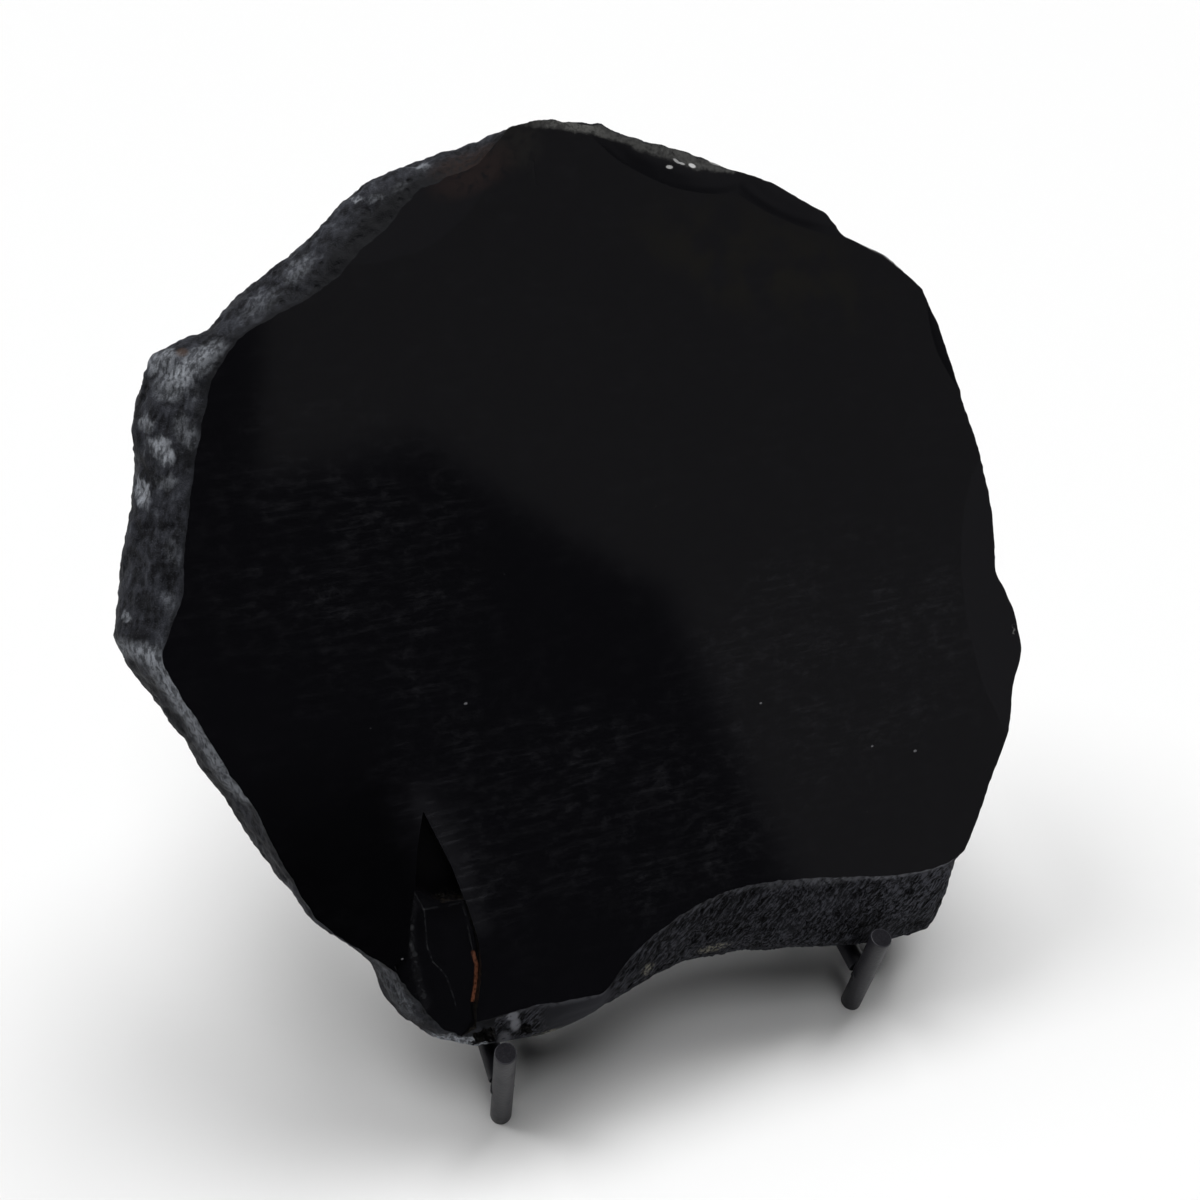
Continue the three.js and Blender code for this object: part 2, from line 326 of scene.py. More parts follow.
# Height of the rough surface over the plain rim, in millimetres
def rimRelief(points, bearing):
    rind, band, glass = rimZones(bearing)
    pits = ease(cellDistance(points / 4.2), 0.12, 0.55) - 1
    crust = slab["rindLump"] * roughNoise(points / 8.5) + slab["rindGrain"] * roughNoise(points / 2.6, 3)
    crust = crust + slab["rindPit"] * pits * ease(softNoise(points / 9 + 5), 0.35, 0.6)
    along = math.radians(34)
    x, w, z = points.T
    run = x * math.cos(along) + z * math.sin(along)
    across = -x * math.sin(along) + z * math.cos(along)
    grain = np.stack([run / 6, w / 2.2, across / 1.5], axis=1)
    cuts = ease(cellDistance(np.stack([run / 4.5, w / 2.6, across / 1.9], axis=1)), 0.12, 0.4) - 1
    sawn = slab["bandRidge"] * roughNoise(grain, 3) + slab["bandPit"] * cuts
    chips = slab["glassLump"] * (0.5 - np.abs(roughNoise(points / 13, 3)))
    return rind * crust + band * sawn + glass * chips


# The slab before its breaks: the face, the roll to the rim, the body and the back, as rings about
# the centre, each point moved out along the skin's own slope by the relief
def slabBlank():
    bearing = spreadBearings()
    edge = readOutline(faceEdge, bearing)[0]
    rim, rimDepth = readOutline(rimLine, bearing)
    swell = readBearings(belly, bearing)
    inset = readBearings(backInset, bearing)
    thick = stand["thickness"]
    roll = slab["backRoll"]
    faceMiddle = np.array([slab["centre"][0], 0, slab["centre"][1]])
    backMiddle = faceMiddle + [0, thick, 0]

    a = np.radians(bearing)
    wobble = np.stack([np.cos(a), np.sin(a), np.zeros_like(a)], axis=1) * 60
    edge = edge - 0.35 + 0.3 * roughNoise(wobble, 4)

    rings = []
    amounts = []
    for t in np.linspace(0, 1, slab["rollRings"]):
        out = np.interp(t, np.linspace(0, 1, 5), rollOut)
        inward = np.interp(t, np.linspace(0, 1, 5), rollIn)
        radius = edge + out * (rim - edge) + out * (1 - out) * 4 * rimWave(bearing, inward * 10)
        rings.append(ringPoints(bearing, radius, inward * rimDepth))
        amounts.append(ease(t, -0.02, 0.12))
    for share in np.linspace(0, 1, slab["bodyRings"] + 1)[1:]:
        wave = rimWave(bearing, 20 + 20 * share) * ease(share, 0, 0.3)
        radius = rim + swell * np.sin(share * math.pi * 0.7) + wave
        rings.append(ringPoints(bearing, radius, rimDepth + share * (thick - roll - rimDepth)))
        amounts.append(1.0)
    for share in np.linspace(0, 1, slab["backRings"] + 1)[1:]:
        turn = share * math.pi / 2
        radius = rim + 0.81 * swell * math.cos(turn) - inset * (1 - math.cos(turn)) + rimWave(bearing, 40)
        rings.append(ringPoints(bearing, radius, thick - roll + roll * math.sin(turn)))
        amounts.append(1 - ease(share, 0.6, 1))
    rings = np.array(rings)

    alongRing = np.roll(rings, -1, axis=1) - np.roll(rings, 1, axis=1)
    acrossRing = np.gradient(rings, axis=0)
    slope = np.cross(alongRing, acrossRing)
    slope /= np.linalg.norm(slope, axis=2, keepdims=True)
    everywhere = np.broadcast_to(bearing, rings.shape[:2]).ravel()
    relief = rimRelief(rings.reshape(-1, 3), everywhere).reshape(rings.shape[:2])
    outward = np.sign(np.sum(slope[8] * (rings[8] - faceMiddle), axis=1).mean())
    moved = rings + outward * slope * (relief * np.array(amounts)[:, None] - 0.25)[..., None]
    moved[0] = rings[0]
    moved[:, :, 1] = np.clip(moved[:, :, 1], 0, thick)
    moved[-1, :, 1] = thick

    face = [moved[0] * (1 - s) + faceMiddle * s for s in slab["faceShares"][:0:-1]]
    back = [moved[-1] * (1 - s) + backMiddle * s for s in (0.3, 0.7)]
    stack = np.array([*face, *moved, *back])
    points, faces = closedStack(stack, faceMiddle, backMiddle)
    firstRough = len(face)
    slots = np.full(len(faces), finish["rind"])
    count = len(bearing)
    slots[: firstRough * count] = finish["face"]
    slots[(firstRough + len(moved) - 1) * count : (len(stack) - 1) * count] = finish["back"]
    slots[(len(stack) - 1) * count : len(stack) * count] = finish["face"]
    slots[len(stack) * count :] = finish["back"]
    return points, faces, slots


# One flake scar's cutter: an ellipsoid with its pole at the deepest point, its cap finely ringed
# and rippled about the spot where the blow fell, and the rest of it coarse
def scarCutter(name, scar, plane, side, ripple, materials):
    x, z, halfX, halfZ, depth, turn = scar
    flatness, capTilt, sides = 12, 0.5, 150
    spread = 1 / math.sqrt(1 - ((flatness - 1) / flatness) ** 2)
    polar = np.concatenate([np.linspace(0, capTilt, 60)[1:], np.linspace(capTilt, math.pi, 14)[1:-1]])
    around = np.linspace(0, 2 * math.pi, sides, endpoint=False)
    tilt, a = np.meshgrid(polar, around, indexing="ij")
    across = halfX * spread * np.sin(tilt) * np.cos(a)
    up = halfZ * spread * np.sin(tilt) * np.sin(a)
    t = math.radians(turn)
    px = x + across * math.cos(t) - up * math.sin(t)
    pz = z + across * math.sin(t) + up * math.cos(t)
    blow = np.array([x, z]) - slab["centre"]
    blow = np.array([x, z]) + blow / np.linalg.norm(blow) * 26
    away = np.hypot(px - blow[0], pz - blow[1])
    onCap = ease(np.cos(tilt), 0.75, 0.9)
    wave = ripple * np.sin(away * 1.25 + 2.2 * np.sin(away * 0.21)) * onCap
    grain = roughNoise(np.stack([px, np.full(px.shape, plane), pz], axis=-1).reshape(-1, 3) / 11, 3)
    wave = wave + 4 * ripple * grain.reshape(px.shape) * onCap
    height = side * (flatness * depth * (np.cos(tilt) - 1) + depth + wave)
    rings = np.stack([px, plane + height, pz], axis=-1)
    top = (x, plane + side * depth, z)
    bottom = (x, plane + side * depth * (1 - 2 * flatness), z)
    points, faces = closedStack(rings, top, bottom)
    return cutterObject(name, points, faces, finish["glass"], materials)


# A cutter with its faces pointing out, in one material slot or in a slot for each face
def cutterObject(name, points, faces, slots, materials):
    slots = np.broadcast_to(slots, len(faces)).tolist()
    cutter = makeObject(name, placed(points, slabPlace), faces, materials, slots)
    faceOut(cutter)
    return cutter


# The floor of the break's plates: a plane a little deeper at its foot, with faint shell ripples
def plateFloor(x, z):
    away = np.hypot(x + 78, z - 66)
    return 3.0 + 0.045 * (57 - z) + 0.012 * np.sin(away * 0.8)


# The floor of the deep recess: parallel to the face, with faint shell ripples
def recessFloor(x, z):
    away = np.hypot(x + 97, z - 95)
    return 6.6 + 0.02 * np.sin(away * 0.9)


# How far a closed outline lies from a middle point along the ray at each bearing
def outlineReach(outline, middle, bearing):
    offset = np.array(outline, float) - middle
    corner = np.degrees(np.arctan2(offset[:, 1], offset[:, 0])) % 360
    order = np.argsort(corner)
    corner = corner[order]
    closed = np.vstack([offset[order], offset[order][:1]])
    where = np.where(bearing < corner[0], bearing + 360, bearing)
    index = np.clip(np.searchsorted(corner, where, side="right") - 1, 0, len(corner) - 1)
    a = np.radians(bearing)
    start = closed[index]
    along = closed[index + 1] - start
    crossed = start[:, 0] * along[:, 1] - start[:, 1] * along[:, 0]
    return crossed / (np.cos(a) * along[:, 1] - np.sin(a) * along[:, 0])


# One level of the break: rings from the middle of its floor to its outline, then up its walls and
# over the top in front of the face
def breakCutter(name, outline, floor, floorSlot, materials):
    middle = np.array(outline, float).mean(0)
    floorShare, overFace = 0.98, -6
    sides, floorSteps, wallSteps = 420, 60, 16
    bearing = np.linspace(0, 360, sides, endpoint=False)
    a = np.radians(bearing)
    ray = np.stack([np.cos(a), np.sin(a)], axis=1)
    reach = outlineReach(outline, middle, bearing)
    edge = middle + ray * reach[:, None]
    jag = 1 + 0.01 * roughNoise(np.stack([edge[:, 0] / 2, edge[:, 1] / 2, edge[:, 0] * 0], axis=1), 3)
    rings = []
    for s in np.linspace(0, 1, floorSteps)[1:]:
        spot = middle + (edge - middle) * s * floorShare * jag[:, None]
        rings.append(np.stack([spot[:, 0], floor(spot[:, 0], spot[:, 1]), spot[:, 1]], axis=1))
    floorRings = len(rings)
    lowest = rings[-1][:, 1]
    for s in np.linspace(0, 1, wallSteps)[1:]:
        spot = middle + (edge - middle) * (floorShare + (1 - floorShare) * s) * jag[:, None]
        rings.append(np.stack([spot[:, 0], lowest + (overFace - lowest) * s, spot[:, 1]], axis=1))
    hub = (middle[0], floor(*middle), middle[1])
    points, faces = closedStack(np.array(rings), hub, (middle[0], overFace, middle[1]))
    count = len(bearing)
    slots = np.full(len(faces), finish["deep"])
    slots[: (floorRings - 1) * count] = floorSlot
    slots[(len(rings) - 1) * count : len(rings) * count] = floorSlot
    return cutterObject(name, points, faces, slots, materials)


# A lumpy pocket: centre as x, w, z and half sizes
def pocketCutter(name, centre, size, materials):
    polar = np.linspace(0, math.pi, 26)[1:-1]
    around = np.linspace(0, 2 * math.pi, 44, endpoint=False)
    tilt, a = np.meshgrid(polar, around, indexing="ij")
    ray = np.stack([np.sin(tilt) * np.cos(a), np.sin(tilt) * np.sin(a), np.cos(tilt)], axis=-1)
    lump = 1 + 0.4 * roughNoise(ray.reshape(-1, 3) * 1.7 + centre[0], 3).reshape(tilt.shape)
    centre, size = np.array(centre, float), np.array(size, float)
    rings = centre + ray * lump[..., None] * size
    points, faces = closedStack(rings, centre + size * [0, 0, 1], centre - size * [0, 0, 1])
    return cutterObject(name, points, faces, finish["deep"], materials)


# Everything under the seat, where the slab stands on the rails
def seatCutter(materials):
    corners = np.array(list(np.ndindex(2, 2, 2)), float)
    low, high = np.array([-300.0, -300, seatHeight - 100]), np.array([300.0, 300, seatHeight])
    points = placed(low + corners * (high - low), standPlace)
    faces = [(0, 1, 3, 2), (4, 6, 7, 5), (0, 4, 5, 1), (2, 3, 7, 6), (0, 2, 6, 4), (1, 5, 7, 3)]
    return makeObject("seatCutter", points, faces, materials, [finish["back"]] * 6)


# Takes the cutters out of the slab one by one and keeps the result as a plain mesh
def carve(blank, cutters):
    for cutter in cutters:
        cut = blank.modifiers.new(cutter.name, "BOOLEAN")
        cut.operation = "DIFFERENCE"
        cut.solver = "MANIFOLD"
        cut.object = cutter
    bpy.context.view_layer.update()
    carved = bpy.data.meshes.new_from_object(blank.evaluated_get(bpy.context.evaluated_depsgraph_get()))
    blank.modifiers.clear()
    blank.data = carved
    for cutter in cutters:
        bpy.data.objects.remove(cutter)


# Points in metres drawn in where they pass a box: the outer 8 mm at such an end is pressed together
def drawnInto(points, box):
    pressedZone, spare = 8 * mm, 0.05 * mm
    points = points.copy()
    for axis in range(3):
        for sign, limit in ((1, box[1][axis]), (-1, -box[0][axis])):
            value = sign * points[:, axis]
            top = value.max()
            start = limit - pressedZone
            if top > limit:
                pressed = start + (value - start) * (limit - spare - start) / (top - start)
                points[:, axis] = sign * np.where(value > start, pressed, value)
    return points


# Shader graph


# One output socket. Sums, products and powers of wires and numbers add Math nodes.
class Wire:
    def __init__(self, socket):
        self.socket = socket

    # Any node: its type, its settings, which are set first, and the values or links of its sockets
    @staticmethod
    def node(tree, kind, settings=None, sockets=None, output=0):
        made = tree.nodes.new(kind)
        for name, value in (settings or {}).items():
            setattr(made, name, value)
        for name, value in (sockets or {}).items():
            if isinstance(value, Wire):
                tree.links.new(value.socket, made.inputs[name])
            else:
                made.inputs[name].default_value = value
        return Wire(made.outputs[output])

    def another(self, kind, settings=None, sockets=None, output=0):
        return Wire.node(self.socket.id_data, kind, settings, sockets, output)

    def math(self, operation, *others):
        values = dict(enumerate((self, *others)))
        return self.another("ShaderNodeMath", {"operation": operation}, values)

    def __add__(self, other):
        return self.math("ADD", other)

    __radd__ = __add__

    def __mul__(self, other):
        return self.math("MULTIPLY", other)

    __rmul__ = __mul__

    def __sub__(self, other):
        return self.math("SUBTRACT", other)

    def __rsub__(self, other):
        return self.another("ShaderNodeMath", {"operation": "SUBTRACT"}, {0: other, 1: self})

    def __truediv__(self, other):
        return self.math("DIVIDE", other)

    def __pow__(self, other):
        return self.math("POWER", other)

    # 0 below low and 1 above high, an eased step between
    def step(self, low, high):
        sockets = {"Value": self, "From Min": low, "From Max": high}
        return self.another("ShaderNodeMapRange", {"interpolation_type": "SMOOTHSTEP"}, sockets)

    # 1 below low and 0 above high
    def fall(self, low, high):
        return 1 - self.step(low, high)

    # This wire is the factor between two colours, each a tuple or a wire
    def blend(self, first, second):
        first, second = [c if isinstance(c, Wire) else (*c, 1) for c in (first, second)]
        return self.another("ShaderNodeMix", {"data_type": "RGBA"}, {0: self, 6: first, 7: second}, 2)

    # A vector wire times a triple of numbers
    def scaled(self, factors):
        return self.another("ShaderNodeVectorMath", {"operation": "MULTIPLY"}, {0: self, 1: factors})

    # Noise from 0 to 1 on a vector wire
    def noise(self, scale, detail=3.0, roughness=0.55):
        sockets = {"Vector": self, "Scale": scale, "Detail": detail, "Roughness": roughness}
        return self.another("ShaderNodeTexNoise", None, sockets)

    # Distance to the nearest cell point (output 0) or that cell's own colour (output 1)
    def cells(self, scale, output=0):
        return self.another("ShaderNodeTexVoronoi", None, {"Vector": self, "Scale": scale}, output)

    def parts(self):
        made = self.another("ShaderNodeSeparateXYZ", None, {0: self}).socket.node
        return [Wire(s) for s in made.outputs]


# A new material, its tree, its shader and its object coordinates
def startMaterial(name):
    material = bpy.data.materials.new(name)
    material.use_nodes = True
    tree = material.node_tree
    shader = next(n for n in tree.nodes if n.type == "BSDF_PRINCIPLED")
    here = Wire.node(tree, "ShaderNodeTexCoord", None, None, 3)
    return material, tree, shader, here


# Sets or links sockets of a shader by name
def setShader(tree, shader, sockets):
    for name, value in sockets.items():
        if isinstance(value, Wire):
            tree.links.new(value.socket, shader.inputs[name])
        else:
            shader.inputs[name].default_value = value


# Object coordinates turned into the slab's own leaning frame, in millimetres
def slabCoordinates(here):
    sockets = {"Vector": here, "Location": slabPlace.translation, "Rotation": (-lean, 0, 0)}
    local = here.another("ShaderNodeMapping", {"vector_type": "TEXTURE"}, sockets)
    return local.scaled((1 / mm, 1 / mm, 1 / mm))


# A soft-edged ellipse on the face about x, z, from 1 inside to 0 outside
def patch(x, z, spot, halves, turn=0.0, soft=0.6):
    t = math.radians(turn)
    along = ((x - spot[0]) * math.cos(t) + (z - spot[1]) * math.sin(t)) / halves[0]
    across = ((z - spot[1]) * math.cos(t) - (x - spot[0]) * math.sin(t)) / halves[1]
    return (along * along + across * across).fall(1 - soft, 1 + soft)


# How near a point is to a chain of straight lines: 1 on it, 0 past its half width
def nearPath(x, z, points, halfWidth, soft=0.3):
    nearest = None
    for (ax, az), (bx, bz) in zip(points, points[1:]):
        length = (bx - ax) ** 2 + (bz - az) ** 2
        along = ((x - ax) * (bx - ax) + (z - az) * (bz - az)) / length
        along = along.math("MAXIMUM", 0.0).math("MINIMUM", 1.0)
        offX = x - ax - along * (bx - ax)
        offZ = z - az - along * (bz - az)
        away = (offX * offX + offZ * offZ) ** 0.5
        nearest = away if nearest is None else nearest.math("MINIMUM", away)
    return nearest.fall(halfWidth * (1 - soft), halfWidth * (1 + soft))


# A bump from a height wire, with the real distance that a height of 1 stands for, in metres
def bump(tree, height, distance):
    return Wire.node(tree, "ShaderNodeBump", None, {"Height": height, "Distance": distance, "Strength": 1.0})


polish = {
    "glass": (0.0016, 0.0016, 0.0020),
    "haze": (0.0215, 0.0215, 0.0245),
    "warm": (0.0050, 0.0046, 0.0026),
    "speck": (0.16, 0.16, 0.17),
    "hazeZones": [  # x, z, half sizes and turn of the patches with more polishing haze
        ((-98, 178), (38, 46), 30),
        ((-22, 74), (80, 30), -38),
        ((-70, 70), (10, 34), 12),
        ((70, 110), (60, 40), 10),
    ],
    "hazeEdge": [(-88, 94), (-84, 82), (-80.5, 70), (-78, 58), (-76, 47)],  # beside the break
    "specks": [
        (82, 75, 0.5), (100, 69, 0.7), (39, 101, 0.5), (-68, 124, 0.6),
        (-103.2, 40.9, 0.65), (-106.3, 41.3, 0.4), (-103.8, 43.4, 0.4),
    ],
}


topEdge = {
    "line": [
        (-17, 311), (-4, 309.2), (9.7, 306.2), (23.6, 301.6),
        (37.7, 296.6), (44.8, 293.4), (51.4, 291.4), (57, 290.4),
    ],
    "rimFace": (0.125, 0.125, 0.118),
    "rimSide": (0.060, 0.060, 0.057),
    "olive": (0.0095, 0.0090, 0.0076),
    "red": (0.0150, 0.0088, 0.0076),
    # colour of the painted highlight specks at the top edge
    "speck": (0.85, 0.85, 0.85),
    "specks": [  # painted highlight specks: x, z, half sizes, turn and strength
        ((33.6, 292.3), (1.25, 0.62), -6, 0.5),
        ((36.7, 294.2), (1.3, 0.5), -40, 0.42),
        ((38.6, 293.2), (1.1, 0.4), -20, 0.5),
        ((42.3, 292.2), (1.3, 0.7), -24, 0.8),
    ],
    "crack": [(-15.4, 297.5), (-15.9, 290)],
}


# What the chipped top edge adds to a glass colour: a ragged pale rim, a few painted highlight specks
# and earthy tints beside the apex. Gives the new colour and how dull the spot is.
def topMarks(local, x, w, z, colour):
    cloudy = local.noise(0.3, 4.0).step(0.3, 0.55)
    ragged = z + local.noise(0.5, 3.0) * 2 - 1
    fringe = nearPath(x, ragged, topEdge["line"], 2.0, 0.4) * x.step(-26, 4)
    fringe = fringe.math("MAXIMUM", nearPath(x, ragged, topEdge["line"][3:6], 2.8, 0.4))
    fringe = fringe * (0.45 + 0.55 * cloudy) * (0.55 + 0.45 * local.noise(1.1, 3.0).step(0.35, 0.6))
    olive = patch(x, z, (-21, 304), (9, 8), 0, 0.9) * cloudy * 0.8
    red = patch(x, z, (-36, 296), (14, 6), 20, 0.9) * cloudy * 0.9
    # painted highlight specks on the chipped apex
    specks = sum((patch(x, z, *speck, 0.5) * much for *speck, much in topEdge["specks"]), 0.0)
    rim = w.step(0.1, 1.2).blend(topEdge["rimFace"], topEdge["rimSide"])
    colour = red.blend(olive.blend(colour, topEdge["olive"]), topEdge["red"])
    colour = specks.blend(fringe.blend(colour, rim), topEdge["speck"])
    return colour, (fringe + specks + red * 0.2).math("MINIMUM", 1.0)


# The polished face: black glass, hazed by faint level polishing streaks, with a few pinpricks
def polishedFace():
    material, tree, shader, here = startMaterial("polished_obsidian")
    local = slabCoordinates(here)
    x, w, z = local.parts()
    streaks = local.scaled((0.055, 0.0, 0.5)).noise(1.0, 4.0, 0.72).step(0.47, 0.8)
    blots = local.scaled((0.16, 0.0, 0.27)).noise(1.0, 4.0, 0.7).step(0.45, 0.75)
    zones = sum((patch(x, z, *zone, 0.9) for zone in polish["hazeZones"]), 0.0)
    cloud = local.noise(0.045, 3.0).step(0.36, 0.66)
    haze = (streaks * 0.6 + blots * 0.55) * (0.2 + 0.8 * zones.math("MINIMUM", 1.0)) * (0.25 + 0.75 * cloud)
    beside = nearPath(x, z, polish["hazeEdge"], 3.4, 0.97) * (0.3 + 0.7 * streaks)
    beside = beside * 0.8 + nearPath(x, z, polish["hazeEdge"][:3], 9.0, 0.95) * (0.1 + 0.3 * streaks)
    haze = (haze + beside).math("MINIMUM", 1.0)
    marks = sum((patch(x, z, (sx, sz), (size, size * 0.7)) for sx, sz, size in polish["specks"]), 0.0)
    cell = local.cells(0.09)
    chosen = local.cells(0.09, 1).parts()[0].step(0.66, 0.7)
    pricks = cell.fall(0.012, 0.024) * chosen
    warm = patch(x, z, (62, 256), (46, 17), -22, 0.95) * local.noise(0.07, 3.0).step(0.4, 0.62)
    colour = warm.blend(haze.blend(polish["glass"], polish["haze"]), polish["warm"])
    colour = (marks * 0.9 + pricks * 0.18).math("MINIMUM", 1.0).blend(colour, polish["speck"])
    colour, dull = topMarks(local, x, w, z, colour)
    crack = nearPath(x, z, topEdge["crack"], 0.5, 0.9)
    setShader(tree, shader, {
        "Base Color": colour,
        "Roughness": 0.07 + haze * 0.16 + (marks + dull) * 0.35 + crack * 0.2,
        "IOR": 1.5,
        "Normal": bump(tree, local.noise(0.022, 1.0) - crack * 1.4, 0.00006),
    })
    return material


rind = {
    "dark": (0.0064, 0.0067, 0.0082),
    "grey": (0.0375, 0.0398, 0.0490),
    "pale": (0.34, 0.36, 0.395),
    "patches": [  # x, z, half sizes, turn and strength of the cloudy pale crust
        ((-143, 249.5), (5, 3.4), 20, 0.55),
        ((-132, 246.5), (9, 3.6), 28, 0.62),
        ((-140.5, 241.5), (6, 4.6), 40, 0.42),
        ((-147.5, 221.5), (2.6, 4.6), 20, 0.95),
        ((-156, 210), (2.2, 4.6), 0, 0.85),
        ((-139.5, 226), (3.2, 5), 20, 0.3),
        ((-150.8, 230.5), (2.4, 2.4), 0, 0.5),
        ((-148, 211.5), (3, 2.2), 0, 0.25),
        ((-150, 190), (2, 5), 8, 0.08),
        ((-153, 172), (2.5, 6), 12, 0.12),
        ((-168, 171.7), (1.4, 1.4), 0, 0.5),
        ((-70.3, 299), (2.2, 1.1), 20, 0.6),
        ((-68.6, 291.4), (3, 1.2), 15, 0.5),
        ((-73.8, 292), (1.6, 1.1), 0, 0.55),
        ((-59, 293.5), (4, 2), 10, 0.3),
        ((-51, 300), (2.6, 1.2), 20, 0.5),
        ((-96, 272), (6, 3), 35, 0.2),
        ((-110, 262), (7, 3), 35, 0.12),
        ((-88, 5), (14, 3.6), -12, 1.3),
        ((-109, 30), (4, 14), 20, 0.42),
    ],
    "streak": [
        (-171, 162), (-163, 159.7), (-159, 150), (-155.8, 140.6), (-152, 130), (-149, 121), (-143.4, 109.5),
    ],
    "darkSpots": [
        ((-132.8, 237.7), (3.2, 2.4)), ((-154.5, 234), (2.6, 2)),
        ((-140, 218), (3, 3)), ((-165, 166), (3, 2)),
    ],
    "orange": (0.1, 0.055, 0.03),
    "red": (0.020, 0.012, 0.010),
}


# The weathered rind: dark grey with soft cloudy mottling that leans with the stone, pale bluish
# crust in patches and along the lower left edge, and a dark fringe where it meets the face
def roughRind():
    material, tree, shader, here = startMaterial("obsidian_rind")
    local = slabCoordinates(here)
    x, w, z = local.parts()
    relief = Wire.node(tree, "ShaderNodeAttribute", {"attribute_name": "relief"}, None, 2)
    leaning = local.another("ShaderNodeMapping", {"vector_type": "TEXTURE"}, {
        "Vector": local, "Rotation": (0, math.radians(20), 0), "Scale": (1.0, 1.0, 1.9)})
    cloud = leaning.noise(0.22, 3.0, 0.55)
    mottle = leaning.noise(0.6, 4.0, 0.62)
    flecks = local.noise(1.9, 3.0, 0.65)
    holes = local.cells(0.3).fall(0.1, 0.42) * cloud.fall(0.42, 0.56)
    grey = cloud.step(0.42, 0.62) * 0.5 + mottle.step(0.42, 0.66) * 0.45
    grey = grey + flecks.step(0.48, 0.68) * 0.4 + relief * 0.12
    driftX = x + leaning.noise(0.35, 3.0) * 5 - 2.5
    driftZ = z + local.noise(0.3, 3.0) * 6 - 3
    crust = sum((patch(driftX, driftZ, *place, 0.95) * much for *place, much in rind["patches"]), 0.0)
    streak = nearPath(x, z, rind["streak"], 2.6, 0.8) * 0.55
    streak = streak + nearPath(x, z, rind["streak"][1:4], 3.2, 0.8) * 0.25
    pale = (crust + streak) * w.fall(20, 27) * (0.2 + 0.8 * mottle.step(0.38, 0.6))
    pale = pale + cloud.step(0.56, 0.76) * mottle.step(0.45, 0.65) * 0.14 + flecks.step(0.62, 0.74) * 0.1
    pale = pale * (1 - 0.75 * z.fall(40, 60) * flecks.fall(0.42, 0.5))
    fringe = w.fall(0.2, 1.6) * (0.6 - streak) + w.fall(0.8, 5.5) * z.step(228, 246) * 0.7
    fringe = fringe + patch(x, z, (-50, 293), (44, 17), 24, 0.8) * w.fall(2, 9) * 0.75
    fringe = fringe + w.step(7, 14) * z.fall(148, 168) * x.fall(-104, -96) * 0.5
    fringe = fringe + w.fall(0.5, 8) * z.fall(38, 48) * z.step(6, 14) * 0.85
    spots = sum((patch(x, z, spot, halves, 0.0, 0.9) for spot, halves in rind["darkSpots"]), 0.0)
    colour = grey.math("MAXIMUM", 0.0).math("MINIMUM", 1.0).blend(rind["dark"], rind["grey"])
    colour = (holes * 0.7 + spots * 0.8).math("MINIMUM", 1.0).blend(colour, rind["dark"])
    colour = pale.math("MINIMUM", 1.0).blend(colour, rind["pale"])
    colour = fringe.math("MAXIMUM", 0.0).math("MINIMUM", 1.0).blend(colour, rind["dark"])
    orange = patch(x, z, (-136, 250.6), (1.8, 1.4), 0, 0.9) * 0.35
    red = patch(x, z, (-36, 300), (13, 4), 14, 0.9) * mottle.step(0.3, 0.6) * 0.8
    colour = red.blend(orange.blend(colour, rind["orange"]), rind["red"])
    setShader(tree, shader, {
        "Base Color": colour,
        "Roughness": 0.62 + pale * 0.2,
        "Specular IOR Level": 0.07,
        "Normal": bump(tree, mottle * 0.5 + flecks * 0.35 - holes * 0.4, 0.0008),
    })
    return material


band = {
    "dark": (0.0026, 0.0026, 0.0032),
    "grey": (0.088, 0.090, 0.108),
    "pale": (0.23, 0.235, 0.26),
    "beige": (0.22, 0.21, 0.17),
    "slant": 43.0,  # degrees that the grain rises to the right
    "smooth": ((-46, 7), (14, 11)),  # the honed part of its foot
    "beigeBits": [((11, 11), (6, 1.8)), ((-17, 12), (2.5, 2.5)), ((-58, -1), (6, 1.6))],
    "paleBits": [
        ((-70.2, 12.4), (2.2, 1.5), 1.2), ((-69.4, 8.6), (1.7, 2.8), 1.0), ((-73.6, 3), (2.2, 3.4), 0.8),
    ],
    "cuts": [[(68.2, 3.5), (75, 3.2), (80.8, 4.6)], [(99, 4.3), (107.3, 9.6)], [(79, 5.5), (80.5, 6.6)]],
}


